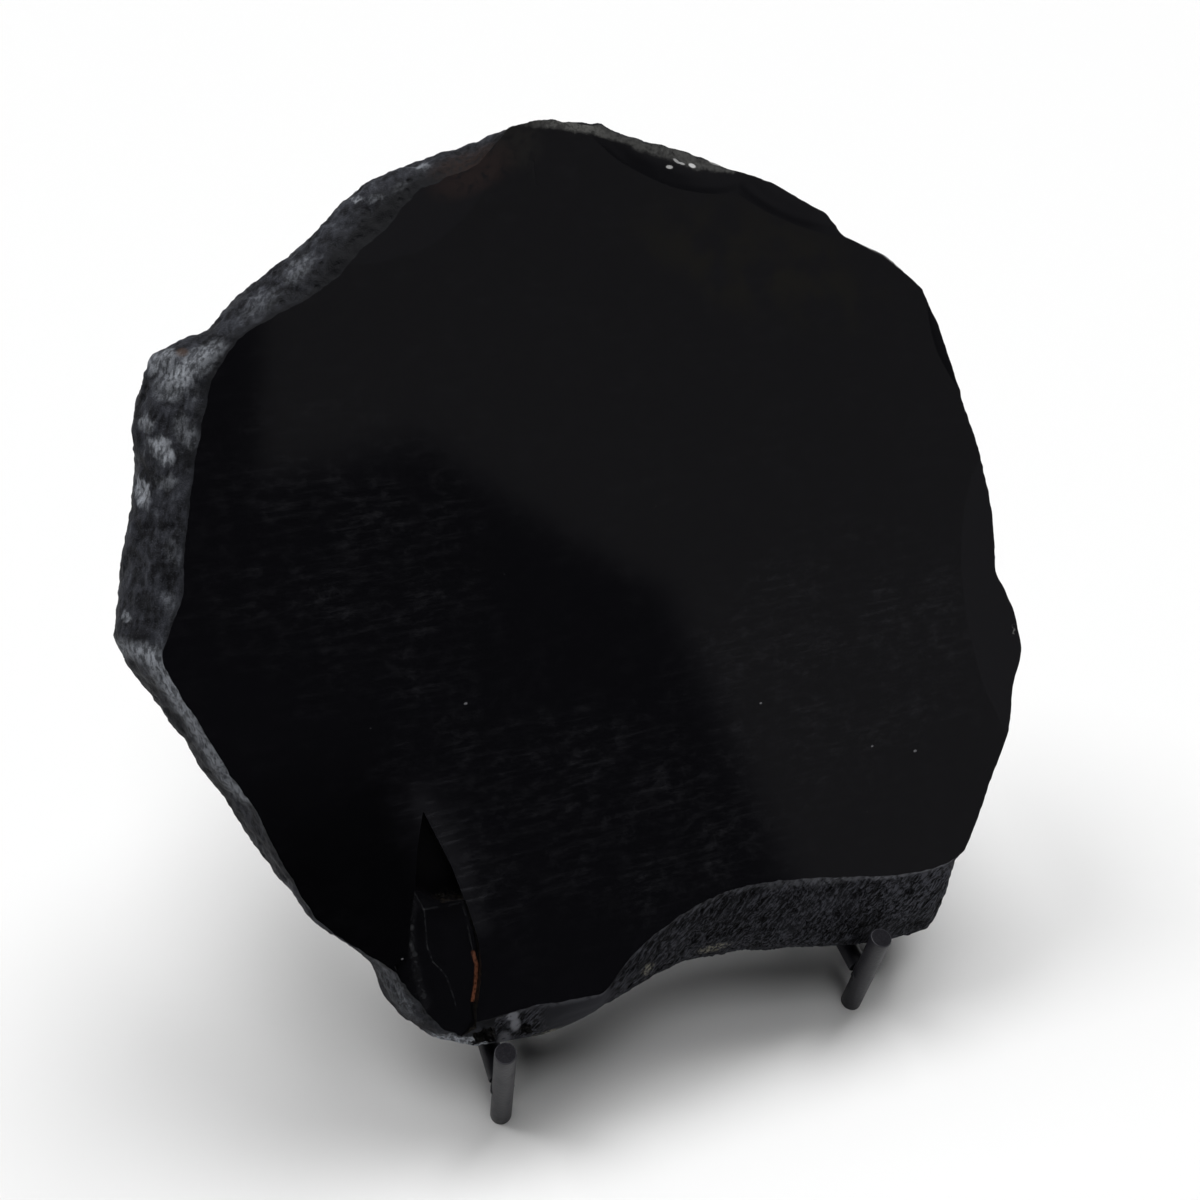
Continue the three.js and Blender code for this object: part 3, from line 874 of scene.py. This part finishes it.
# The rough band at the lower right: charcoal with slanting grain, long dark pits and a pale line
# where it meets the face; its foot at the left is honed smooth
def roughBand():
    material, tree, shader, here = startMaterial("obsidian_band")
    local = slabCoordinates(here)
    x, w, z = local.parts()
    relief = Wire.node(tree, "ShaderNodeAttribute", {"attribute_name": "relief"}, None, 2)
    slanted = local.another("ShaderNodeMapping", {"vector_type": "TEXTURE"}, {
        "Vector": local, "Rotation": (0, -math.radians(band["slant"]), 0), "Scale": (3.6, 1.0, 0.85)})
    grain = slanted.noise(1.0, 4.0, 0.7)
    drift = slanted.noise(0.22, 3.0)
    pits = slanted.cells(0.5).fall(0.12, 0.36) * drift.fall(0.45, 0.62)
    speckle = local.noise(2.4, 2.0).step(0.6, 0.7)
    rightEnd = patch(x, z, (104, 17), (30, 15), 0, 0.9)
    smooth = patch(x, z, *band["smooth"], 0, 0.35)
    light = grain.step(0.46, 0.62) * 0.66 + drift.step(0.4, 0.65) * 0.12 + speckle * 0.4 + relief * 0.16
    light = light + rightEnd * 0.8 * grain.step(0.46, 0.6)
    light = (1 - smooth) * light + smooth * (0.15 + 0.06 * drift + x.step(-60, -32) * 0.14)
    colour = light.math("MAXIMUM", 0.0).math("MINIMUM", 1.3).blend(band["dark"], band["grey"])
    cuts = sum((nearPath(x + drift * 2 - 1, z, line, 0.4, 0.7) for line in band["cuts"]), 0.0)
    colour = (pits * 0.9 * (1 - smooth) + cuts).math("MINIMUM", 1.0).blend(colour, band["dark"])
    edge = w.fall(0.4, 1.1) * local.noise(0.4, 3.0).step(0.3, 0.55) * (0.3 + 0.7 * x.step(10, 100))
    bits = sum((patch(x, z, spot, halves, 0.0, 0.9) * much for spot, halves, much in band["paleBits"]), 0.0)
    bits = bits * local.noise(0.5, 3.0).step(0.3, 0.42) * x.fall(-66, -62)
    colour = (edge * 0.6 + bits).math("MINIMUM", 1.0).blend(colour, band["pale"])
    beige = sum((patch(x, z, spot, halves, 0.0, 0.9) for spot, halves in band["beigeBits"]), 0.0)
    beige = beige * local.noise(0.8, 3.0).step(0.45, 0.6)
    colour = beige.math("MINIMUM", 1.0).blend(colour, band["beige"])
    setShader(tree, shader, {
        "Base Color": colour,
        "Roughness": 0.62,
        "Specular IOR Level": 0.04,
        "Normal": bump(tree, (grain * 0.8 - pits * 0.8 + speckle * 0.2) * (1 - smooth), 0.0012),
    })
    return material


breakLook = {
    "glass": (0.0032, 0.0032, 0.0040),
    "ledge": (0.0085, 0.0085, 0.0100),
    # pale colour of the painted crack highlights and of the crushed glass
    "crackGlintAndCrush": (0.085, 0.087, 0.094),
    "vein": (0.20, 0.068, 0.032),
    # near-black colour of the painted shade in the recess, the walls and the pockets
    "deep": (0.0010, 0.0009, 0.0014),
    "earth": (0.014, 0.0115, 0.008),
    "cracks": [  # points as x, z, with the half width of each painted highlight line
        ([(-93.4, 57.2), (-86, 56.3), (-79.6, 56.2)], 0.36),
        ([(-96, 65), (-93.4, 57.2)], 0.2),
        ([(-93.3, 57.1), (-94.5, 44.5), (-93.5, 38.1), (-91.3, 34.5)], 0.24),
        ([(-91.3, 34.5), (-89.8, 31.2), (-88.4, 22.7), (-88.4, 18.4)], 0.2),
        ([(-80.3, 55.8), (-79.7, 51.3), (-79.5, 42.2), (-79.4, 38.6)], 0.24),
    ],
    "veinLine": [(-79.4, 37.5), (-78.9, 32.5), (-80.3, 26.0), (-82.2, 20.4)],
    "crushedLine": [(-95.6, 66), (-98.2, 53), (-99.6, 45), (-99.3, 40.3), (-99.3, 32), (-98.2, 22.7)],
    "crushedSpots": [
        ((-98.5, 52), (0.9, 1.0), 0.34), ((-99.6, 45.5), (0.7, 1.9), 0.24), ((-99, 42.4), (0.9, 0.9), 0.2),
    ],
    "chip": (0.13, 0.13, 0.125),
    "sideChips": [((154, 120), (3, 4)), ((156, 112), (2, 3)), ((152, 106), (2, 2))],
}


# Broken glass in the scars and on the break's plates: black and wet-looking, with painted highlights
# along the cracks, pale crushed specks along the left and a rusty vein beside the right wall
def brokenGlass():
    material, tree, shader, here = startMaterial("broken_obsidian")
    local = slabCoordinates(here)
    x, w, z = local.parts()
    inBreak = patch(x, z, (-91, 42), (22, 52), 0, 0.1) * w.fall(14, 20)
    rag = local.noise(0.5, 3.0) * 0.9 - 0.45
    cracks = sum((nearPath(x + rag, z, line, half, 0.9) for line, half in breakLook["cracks"]), 0.0)
    cracks = cracks * (0.25 + 0.75 * local.noise(0.5, 3.0).step(0.38, 0.6))
    vein = nearPath(x + rag * 0.5, z, breakLook["veinLine"], 0.62, 0.45) * inBreak
    vein = vein * (0.35 + 0.65 * local.noise(1.2, 3.0).step(0.4, 0.6))
    grit = local.noise(0.8, 4.0).step(0.5, 0.66)
    crushed = nearPath(x + rag, z, breakLook["crushedLine"], 1.1, 0.8) * (0.16 + 0.3 * grit)
    crushed = crushed + nearPath(x + rag * 2, z, breakLook["crushedLine"][2:], 2.2, 0.9) * grit * 0.12
    crushedSpots = breakLook["crushedSpots"]
    spots = sum((patch(x + rag, z, *place, 0.0, 0.9) * much for *place, much in crushedSpots), 0.0)
    ledge = z.step(57.2, 57.7) * x.fall(-88.5, -86.5) * inBreak
    # the crack lines are painted highlights; the crushed line and spots are pale crushed glass
    pale = ((cracks * 0.22 + crushed * 0.34 + spots) * inBreak).math("MINIMUM", 1.0)
    colour = (ledge * 0.8).blend(breakLook["glass"], breakLook["ledge"])
    colour = pale.blend(colour, breakLook["crackGlintAndCrush"])
    colour = vein.blend(colour, breakLook["vein"])
    chips = sum((patch(x, z, spot, halves, 0.0, 0.9) for spot, halves in breakLook["sideChips"]), 0.0)
    chips = chips * grit
    colour, dull = topMarks(local, x, w, z, chips.blend(colour, breakLook["chip"]))
    setShader(tree, shader, {
        "Base Color": colour,
        "Roughness": 0.13 + pale * 0.4 + vein * 0.35 + (chips + dull) * 0.35,
        "IOR": 1.5,
        "Normal": bump(tree, local.noise(0.1, 1.0) + pale * 0.6, 0.00008),
    })
    return material


# The recess, the walls of the break and the pockets: a nearly black, dull finish, painted shade in these
# hollows, with earthy bits low down
def shadedHollowGlass():
    material, tree, shader, here = startMaterial("shaded_hollow_obsidian")
    local = slabCoordinates(here)
    z = local.parts()[2]
    bits = local.noise(0.7, 3.0).step(0.42, 0.66) * z.fall(58, 62)
    setShader(tree, shader, {
        "Base Color": (bits * 0.7).blend(breakLook["deep"], breakLook["earth"]),
        "Roughness": 0.4,
        "Specular IOR Level": 0.12,
        "Normal": bump(tree, bits, 0.0003),
    })
    return material


sawn = {
    "dark": (0.008, 0.008, 0.009),
    "grey": (0.036, 0.036, 0.038),
    "sawMiddle": (-420, -160),  # x and z of the point that the saw's arcs turn about
}


# The back as the saw left it: dull charcoal with long shallow arcs and a few paler cloudy patches of painted
# sheen
def sawnBack():
    material, tree, shader, here = startMaterial("sawn_obsidian")
    local = slabCoordinates(here)
    x, _, z = local.parts()
    offX, offZ = [axis - middle for axis, middle in zip((x, z), sawn["sawMiddle"])]
    away = (offX * offX + offZ * offZ) ** 0.5
    arcs = (away * 1.9 + local.noise(0.02, 2.0) * 9).math("SINE") * 0.5 + 0.5
    mixed = arcs * local.noise(0.05, 3.0).step(0.35, 0.7)
    # paler cloudy patches: painted sheen, though rougher
    cloud = local.noise(0.03, 4.0).step(0.35, 0.7)
    colour = (mixed * 0.55 + cloud * 0.35).blend(sawn["dark"], sawn["grey"])
    setShader(tree, shader, {
        "Base Color": colour,
        "Roughness": 0.36 + cloud * 0.2,
        "IOR": 1.5,
        "Normal": bump(tree, arcs * 0.6 + local.noise(1.2, 3.0) * 0.5, 0.00012),
    })
    return material


# Each point's height over the plain rim, stored for the rough materials
def storeRelief(piece):
    mesh = piece.data
    relief = rimRelief(*bearingOf(pointsOf(mesh, "vertices", "co")))
    layer = mesh.attributes.new("relief", "FLOAT", "POINT")
    layer.data.foreach_set("value", relief.astype(np.float32))


# One vector of every vertex or polygon of a mesh
def pointsOf(mesh, items, field):
    store = getattr(mesh, items)
    values = np.zeros(len(store) * 3)
    store.foreach_get(field, values)
    return values.reshape(-1, 3)


# The material slot of every polygon of a mesh
def slotsOf(mesh):
    slots = np.zeros(len(mesh.polygons), int)
    mesh.polygons.foreach_get("material_index", slots)
    return slots


# Points of the row's frame as points of the slab's frame, with their bearings
def bearingOf(points):
    back = np.array(slabPlace.inverted().to_3x3())
    local = (points - np.array(slabPlace.translation)) @ back.T / mm
    return local, np.degrees(np.arctan2(local[:, 2] - slab["centre"][1], local[:, 0])) % 360


# Rim faces take the finish of the zone that they lie in, with ragged borders between the zones
def zoneSlots(piece):
    mesh = piece.data
    slots = slotsOf(mesh)
    local, bearing = bearingOf(pointsOf(mesh, "polygons", "center"))
    ragged = bearing + 2.5 * roughNoise(local / 5, 3)
    rindShare, bandShare = rimZones(ragged)[:2]
    foot = (ragged > 237) & (ragged < 262)
    zone = np.where((bandShare > 0.5) | foot, finish["band"], finish["glass"])
    zone = np.where(rindShare > 0.5, finish["rind"], zone)
    mesh.polygons.foreach_set("material_index", np.where(slots == finish["rind"], zone, slots))


# Smooth shading but on the polished face, with sharp edges where two finishes meet at an angle
def shade(piece):
    mesh = piece.data
    slots = slotsOf(mesh)
    mesh.polygons.foreach_set("use_smooth", slots != finish["face"])
    sizes = np.zeros(len(mesh.polygons), int)
    mesh.polygons.foreach_get("loop_total", sizes)
    owner = np.repeat(np.arange(len(sizes)), sizes)
    edgeOf = np.zeros(len(mesh.loops), int)
    mesh.loops.foreach_get("edge_index", edgeOf)
    pairs = owner[np.argsort(edgeOf, kind="stable")].reshape(-1, 2)
    normals = pointsOf(mesh, "polygons", "normal")
    agree = np.sum(normals[pairs[:, 0]] * normals[pairs[:, 1]], axis=1)
    finishes = np.where(slots == finish["band"], finish["rind"], slots)[pairs]
    sharp = (finishes[:, 0] != finishes[:, 1]) & (agree < math.cos(math.radians(slab["sharpAngle"])))
    layer = mesh.attributes.get("sharp_edge") or mesh.attributes.new("sharp_edge", "BOOLEAN", "EDGE")
    layer.data.foreach_set("value", sharp)
    mesh.update()


# The whole stone: its blank, drawn into the CAD box, with the scars and the break taken out
def makeSlab():
    materials = [polishedFace(), roughRind(), brokenGlass(), sawnBack(), roughBand(), shadedHollowGlass()]
    points, faces, slots = slabBlank()
    inside = drawnInto(placed(points, slabPlace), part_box("obsidian_slab"))
    stone = makeObject("obsidian_stone", inside, faces, materials, slots)
    print("slab blank:", len(faces), "faces")
    cutters = []
    for i, scar in enumerate(faceScars):
        cutters.append(scarCutter(f"faceScar{i}", scar, 0, 1, slab["faceRipple"], materials))
    backPlane = stand["thickness"]
    for i, scar in enumerate(backScars):
        cutters.append(scarCutter(f"backScar{i}", scar, backPlane, -1, slab["backRipple"], materials))
    cutters.append(breakCutter("breakPlates", breakPlates, plateFloor, finish["glass"], materials))
    cutters.append(breakCutter("breakRecess", breakRecess, recessFloor, finish["deep"], materials))
    cutters += [pocketCutter(f"pocket{i}", *pocket, materials) for i, pocket in enumerate(pockets)]
    cutters.append(seatCutter(materials))
    carve(stone, cutters)
    storeRelief(stone)
    shade(stone)
    zoneSlots(stone)
    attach(stone, "root")
    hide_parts("obsidian_slab")
    triangles = sum(len(p.vertices) - 2 for p in stone.data.polygons)
    print("slab carved:", triangles, "triangles")


makeSlab()


# The stand

paint = {
    "colour": (0.0142, 0.0138, 0.0185),
    "worn": (0.0240, 0.0236, 0.0300),
    # darker copies of the paint for the rods' cut ends: painted shade on their tops
    "end": (0.0070, 0.0068, 0.0086),
    "endWorn": (0.0150, 0.0147, 0.0175),
    "beadRadius": 1.4,
    "frontBeadRadius": 0.45,
    "edgeRadius": 0.35,
    "sharpAngle": 40,  # degrees
}


# Satin black paint with a faint orange-peel skin, rubbed a little greyer in places
def blackPaint():
    material, tree, shader, here = startMaterial("satin_black_paint")
    rubbed = here.noise(180.0, 3.0).step(0.5, 0.75)
    dust = here.noise(1400.0, 2.0).step(0.62, 0.8)
    colour = (rubbed * 0.6 + dust * 0.5).math("MINIMUM", 1.0).blend(paint["colour"], paint["worn"])
    skin = here.noise(900.0, 2.0)
    setShader(tree, shader, {
        "Base Color": colour,
        "Roughness": 0.42 + rubbed * 0.12,
        "Specular IOR Level": 0.3,
        "Normal": bump(tree, skin, 0.00012),
    })
    return material


# The rods' cut ends: a darker, duller copy of the black paint, painted shade for the darker look of the rod
# tops
def shadedBlackEnd():
    material, tree, shader, here = startMaterial("dull_shaded_black_end")
    grain = here.noise(2500.0, 2.0).step(0.4, 0.7)
    colour = grain.blend(paint["end"], paint["endWorn"])
    setShader(tree, shader, {"Base Color": colour, "Roughness": 0.75, "Specular IOR Level": 0.05})
    return material


# A point on the line of the uprights' axes, a height along the lean
def onUpright(x, along):
    behind = stand["thickness"] + stand["gap"] + stand["rodRadius"]
    back = along * math.sin(lean) + behind * math.cos(lean)
    return np.array([x, back, stand["faceFoot"] + along * math.cos(lean) - behind * math.sin(lean)])


# Two directions square to a given one and to each other
def squareTo(direction):
    guess = np.array([1.0, 0, 0]) if abs(direction[0]) < 0.9 else np.array([0, 1.0, 0])
    first = np.cross(direction, guess)
    first /= np.linalg.norm(first)
    return first, np.cross(direction, first)


# A straight rod with flat ends and softly rounded corners: a profile turned about its axis
def makeRod(node, start, end, paints):
    start, end = np.array(start, float), np.array(end, float)
    direction = (end - start) / np.linalg.norm(end - start)
    first, second = squareTo(direction)
    length = np.linalg.norm(end - start)
    radius, corner = stand["rodRadius"], paint["edgeRadius"]
    sides, steps = 48, 12
    quarter = np.linspace(0, math.pi / 2, 5)
    rising, falling = corner * np.sin(quarter), corner * np.cos(quarter)
    straight = np.linspace(corner, length - corner, steps)[1:-1]
    along = np.concatenate([corner - falling, straight, length - corner + rising])
    inner = radius - corner
    out = np.concatenate([inner + rising, np.full(len(straight), radius), inner + falling])
    a = np.linspace(0, 2 * math.pi, sides, endpoint=False)
    circle = np.cos(a)[:, None] * first + np.sin(a)[:, None] * second
    rings = start + along[:, None, None] * direction + out[:, None, None] * circle[None]
    points, faces = closedStack(rings, start, end)
    slots = [0] * (len(faces) - 2 * len(a)) + [1] * (2 * len(a))
    rod = makeObject(node + "_painted", placed(points, standPlace), faces, paints, slots)
    smoothOut(rod)
    rod.data.set_sharp_from_angle(angle=math.radians(paint["sharpAngle"]))
    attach(rod, "root")
    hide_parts(node)


# Turns a closed piece's faces outwards and shades it smooth
def smoothOut(piece):
    faceOut(piece)
    piece.data.polygons.foreach_set("use_smooth", np.ones(len(piece.data.polygons), bool))


# One weld bead where a rod's end meets another rod's side: the round of the first rod carried to
# the second one's skin gives the seam, and a lumpy tube follows it
def makeBead(name, meeting, direction, other, material, seed, bead=paint["beadRadius"]):
    radius = stand["rodRadius"]
    direction, other = np.array(direction, float), np.array(other, float)
    direction, other = direction / np.linalg.norm(direction), other / np.linalg.norm(other)
    side = np.cross(direction, other)
    side /= np.linalg.norm(side)
    inPlane = np.cross(side, direction)
    square = np.cross(other, side)
    if square @ direction < 0:
        square = -square
    seamSteps, beadSides = 120, 14
    t = np.linspace(0, 2 * math.pi, seamSteps, endpoint=False)
    reach = np.sqrt(np.maximum(radius**2 - (radius * np.sin(t)) ** 2, 0))
    reach = (reach - radius * np.cos(t) * (inPlane @ square)) / (direction @ square)
    seam = meeting + reach[:, None] * direction
    seam = seam + radius * (np.cos(t)[:, None] * inPlane + np.sin(t)[:, None] * side)
    tangent = np.roll(seam, -1, axis=0) - np.roll(seam, 1, axis=0)
    tangent /= np.linalg.norm(tangent, axis=1, keepdims=True)
    outward = np.cos(t)[:, None] * inPlane + np.sin(t)[:, None] * side
    outward = outward - np.sum(outward * tangent, axis=1)[:, None] * tangent
    outward /= np.linalg.norm(outward, axis=1, keepdims=True)
    crosswise = np.cross(tangent, outward)
    scallop = 1 + 0.14 * np.abs(np.sin(t * 7 + seed)) + 0.1 * np.sin(t * 3 + 2 * seed)
    s = np.linspace(0, 2 * math.pi, beadSides, endpoint=False)
    ring = np.cos(s)[None, :, None] * outward[:, None] + np.sin(s)[None, :, None] * crosswise[:, None]
    tube = seam[:, None] + bead * scallop[:, None, None] * ring
    faces = ringQuads(seamSteps, beadSides, True)
    piece = makeObject(name, placed(tube.reshape(-1, 3), standPlace), faces, [material])
    smoothOut(piece)
    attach(piece, "root")


# A blob of weld metal: a sphere with small lumps
def makeBlob(name, centre, size, material):
    tilts = np.linspace(0, math.pi, 18)[1:-1]
    tilt, a = np.meshgrid(tilts, np.linspace(0, 2 * math.pi, 28, endpoint=False), indexing="ij")
    ray = np.stack([np.sin(tilt) * np.cos(a), np.sin(tilt) * np.sin(a), np.cos(tilt)], axis=-1)
    lump = 1 + 0.1 * roughNoise(ray.reshape(-1, 3) * 2 + 3, 2).reshape(tilt.shape)
    size = np.array(size, float)
    rings = centre + ray * lump[..., None] * size
    points, faces = closedStack(rings, centre + size * [0, 0, 1], centre - size * [0, 0, 1])
    piece = makeObject(name, placed(points, standPlace), faces, [material])
    smoothOut(piece)
    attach(piece, "root")


# The ten rods where the frame has them, and a weld wherever two of them meet
def makeStand():
    material = blackPaint()
    paints = [material, shadedBlackEnd()]
    radius = stand["rodRadius"]
    clear = radius + stand["gap"]
    back, rail = stand["rearLegBack"], stand["railHeight"]
    leaning = (0, math.sin(lean), math.cos(lean))
    behind = stand["thickness"] + stand["gap"] + radius
    footAlong = (rail - stand["faceFoot"] + behind * math.sin(lean)) / math.cos(lean)
    barTop, barHeight, legTop = stand["crossBarTop"], stand["rearBarHeight"], stand["rearLegHeight"]
    upright = (0, 0, 1)
    for side, sign in (("left", -1), ("right", 1)):
        x = sign * halfSpacing
        makeRod("front_post_" + side, (x, 0, 0), (x, 0, postHeight), paints)
        makeRod("side_rail_" + side, (x, clear, rail), (x, back - clear, rail), paints)
        low, high = onUpright(x, stand["uprightFoot"]), onUpright(x, stand["uprightTop"])
        makeRod("back_upright_" + side, low, high, paints)
        makeRod("rear_leg_" + side, (x, back, 0), (x, back, legTop), paints)
        thin = paint["frontBeadRadius"]
        makeBead("weld_front_" + side, (x, 0, rail), (0, 1, 0), upright, material, 1.0 + sign, thin)
        makeBead("weld_rear_" + side, (x, back, rail), (0, -1, 0), upright, material, 2.0 + sign)
        makeBead("weld_foot_" + side, onUpright(x, footAlong), leaning, (0, 1, 0), material, 3.0 + sign)
        inward = (-sign, 0, 0)
        makeBead("weld_upper_bar_" + side, onUpright(x, barTop), inward, leaning, material, 4.0 + sign)
        makeBead("weld_rear_bar_" + side, (x, back, barHeight), inward, upright, material, 5.0 + sign)
        makeBlob("weld_top_" + side, np.array([x, back - 2.2, legTop + 0.8]), (3.4, 3.2, 2.6), material)
    reach = halfSpacing - clear
    makeRod("cross_bar_upper", onUpright(-reach, barTop), onUpright(reach, barTop), paints)
    makeRod("cross_bar_rear", (-reach, back, barHeight), (reach, back, barHeight), paints)
    print("stand made")


makeStand()


# Floor, light and camera

studio = {
    "floorSize": 40.0,
    "floorColour": (0.8, 0.8, 0.8),
    "lights": [  # azimuth from -Y towards +X, elevation, width in degrees, share of the floor's light
        (180.0, 63.0, 24.0, 0.218),
        (135.0, 56.0, 24.0, 0.125),
        (135.0, 63.0, 24.0, 0.189),
        (195.0, 84.0, 24.0, 0.058),
        (225.0, 49.0, 24.0, 0.257),
        (0.0, 84.0, 24.0, 0.139),
    ],
    "domeLevel": 0.03,
    "diffuseLevel": 0.015,
    "litAzimuth": (-28.0, 66.0),
    "litElevation": (2.0, 63.0),
    "upperTone": 0.158,
    "lowerTone": 0.045,
    "lowerTint": (0.95, 0.93, 1.16),
    "upperTint": (1.0, 0.98, 1.06),
    "backdrop": 1.0,
    # The slanting border between the lit part's two tones, in degrees: it falls to the right
    # through one point, ends at the right in an upright line and starts at the left in a corner
    "border": {"azimuth": 14.0, "elevation": 41.0, "slope": 0.9, "end": 24.0, "soft": 1.2},
    "corner": {"azimuth": 5.5, "elevation": 43.0, "slope": 0.38, "foot": 40.5, "steepness": 3},
    "darkFoot": {"azimuth": (6.8, 9), "elevation": (22.5, 30), "share": 0.9},
}


# A wide pale floor without an edge in sight
def makeFloor():
    half = studio["floorSize"] / 2
    corners = np.array([(-half, -half, 0), (half, -half, 0), (half, half, 0), (-half, half, 0)])
    material, tree, shader = startMaterial("pale_floor")[:3]
    colour = (*studio["floorColour"], 1)
    setShader(tree, shader, {"Base Color": colour, "Roughness": 0.9, "Specular IOR Level": 0.1})
    floor = makeObject("floor", corners, [(0, 1, 2, 3)], [material])


# A dome that looks white but scatters little light and mirrors dark, all but a soft-edged lit part in
# front, which the polished face mirrors: its upper right is lighter than its lower left, and their
# border slants
def makeWorld():
    world = bpy.data.worlds.new("studio")
    bpy.context.scene.world = world
    world.use_nodes = True
    tree = world.node_tree
    tree.nodes.clear()
    x, y, z = Wire.node(tree, "ShaderNodeTexCoord", None, None, 0).parts()
    azimuth = x.math("ARCTAN2", 0 - y) * (180 / math.pi)
    elevation = z.math("ARCSINE") * (180 / math.pi)
    low, high = studio["litAzimuth"]
    inside = azimuth.step(low - 3, low + 3) * azimuth.fall(high - 8, high + 8)
    low, high = studio["litElevation"]
    inside = inside * elevation.step(low - 3, low + 3) * elevation.fall(high - 6, high + 6)
    border, corner, foot = studio["border"], studio["corner"], studio["darkFoot"]
    slant = azimuth - border["azimuth"] - (border["elevation"] - elevation) * border["slope"]
    slant = slant.math("MAXIMUM", azimuth - border["end"])
    leaning = azimuth - corner["azimuth"] - (elevation - corner["elevation"]) * corner["slope"]
    upper = (elevation - corner["foot"]).math("MINIMUM", leaning * corner["steepness"])
    lighter = slant.math("MAXIMUM", upper).step(-border["soft"], border["soft"])
    lowLeft = azimuth.fall(*foot["azimuth"]) * elevation.fall(*foot["elevation"])
    lower = studio["lowerTone"] * (1 - foot["share"] * lowLeft)
    levels = lighter * (studio["upperTone"] - studio["lowerTone"]) + lower
    level = inside * levels + (1 - inside) * studio["domeLevel"]
    seen = Wire.node(tree, "ShaderNodeLightPath", None, None, 0)
    scattered = Wire.node(tree, "ShaderNodeLightPath", None, None, 2)
    level = scattered * studio["diffuseLevel"] + (1 - scattered) * level
    level = seen * studio["backdrop"] + (1 - seen) * level
    plain = (seen + scattered).math("MINIMUM", 1.0)
    tint = plain.blend(lighter.blend(studio["lowerTint"], studio["upperTint"]), (1, 1, 1))
    background = Wire.node(tree, "ShaderNodeBackground", None, {"Color": tint, "Strength": level})
    output = tree.nodes.new("ShaderNodeOutputWorld")
    tree.links.new(background.socket, output.inputs["Surface"])


# Wide soft suns: each gives its share of the light that falls on the level floor
def makeLights():
    for number, (azimuth, elevation, width, share) in enumerate(studio["lights"]):
        a, e = math.radians(azimuth), math.radians(elevation)
        away = Vector((math.sin(a) * math.cos(e), -math.cos(a) * math.cos(e), math.sin(e)))
        data = bpy.data.lights.new(f"softLight{number}", "SUN")
        data.angle = math.radians(width)
        data.energy = share * math.pi / (studio["floorColour"][0] * math.sin(e))
        light = bpy.data.objects.new(f"softLight{number}", data)
        light.rotation_euler = away.to_track_quat("Z", "Y").to_euler()
        bpy.context.scene.collection.objects.link(light)


view = {
    "place": (-145.2, -179.1, 466.7),  # millimetres from the middle between the posts
    "yaw": 25.2,
    "pitch": 44.8,
    "roll": 7.2,
    "lens": 37.2,
    "sensor": 36.0,
}


# The camera from its place and its three turns
def makeCamera():
    yaw, pitch, roll = [math.radians(view[name]) for name in ("yaw", "pitch", "roll")]
    forward = Vector((math.sin(yaw) * math.cos(pitch), math.cos(yaw) * math.cos(pitch), -math.sin(pitch)))
    level = Vector((math.cos(yaw), -math.sin(yaw), 0))
    above = level.cross(forward)
    right = math.cos(roll) * level + math.sin(roll) * above
    up = -math.sin(roll) * level + math.cos(roll) * above
    data = bpy.data.cameras.new("camera")
    data.sensor_width = view["sensor"]
    data.lens = view["lens"]
    data.clip_start, data.clip_end = 0.01, 50
    camera = bpy.data.objects.new("camera", data)
    camera.matrix_world = Matrix.LocRotScale(
        Vector(view["place"]) * mm + standPlace.translation,
        Matrix((right, up, -forward)).transposed().to_quaternion(),
        None,
    )
    bpy.context.scene.collection.objects.link(camera)
    bpy.context.scene.camera = camera


makeFloor()
makeWorld()
makeLights()
makeCamera()
bpy.context.scene.view_settings.view_transform = "Standard"
print("floor, light and camera made")

bpy.context.view_layer.update()
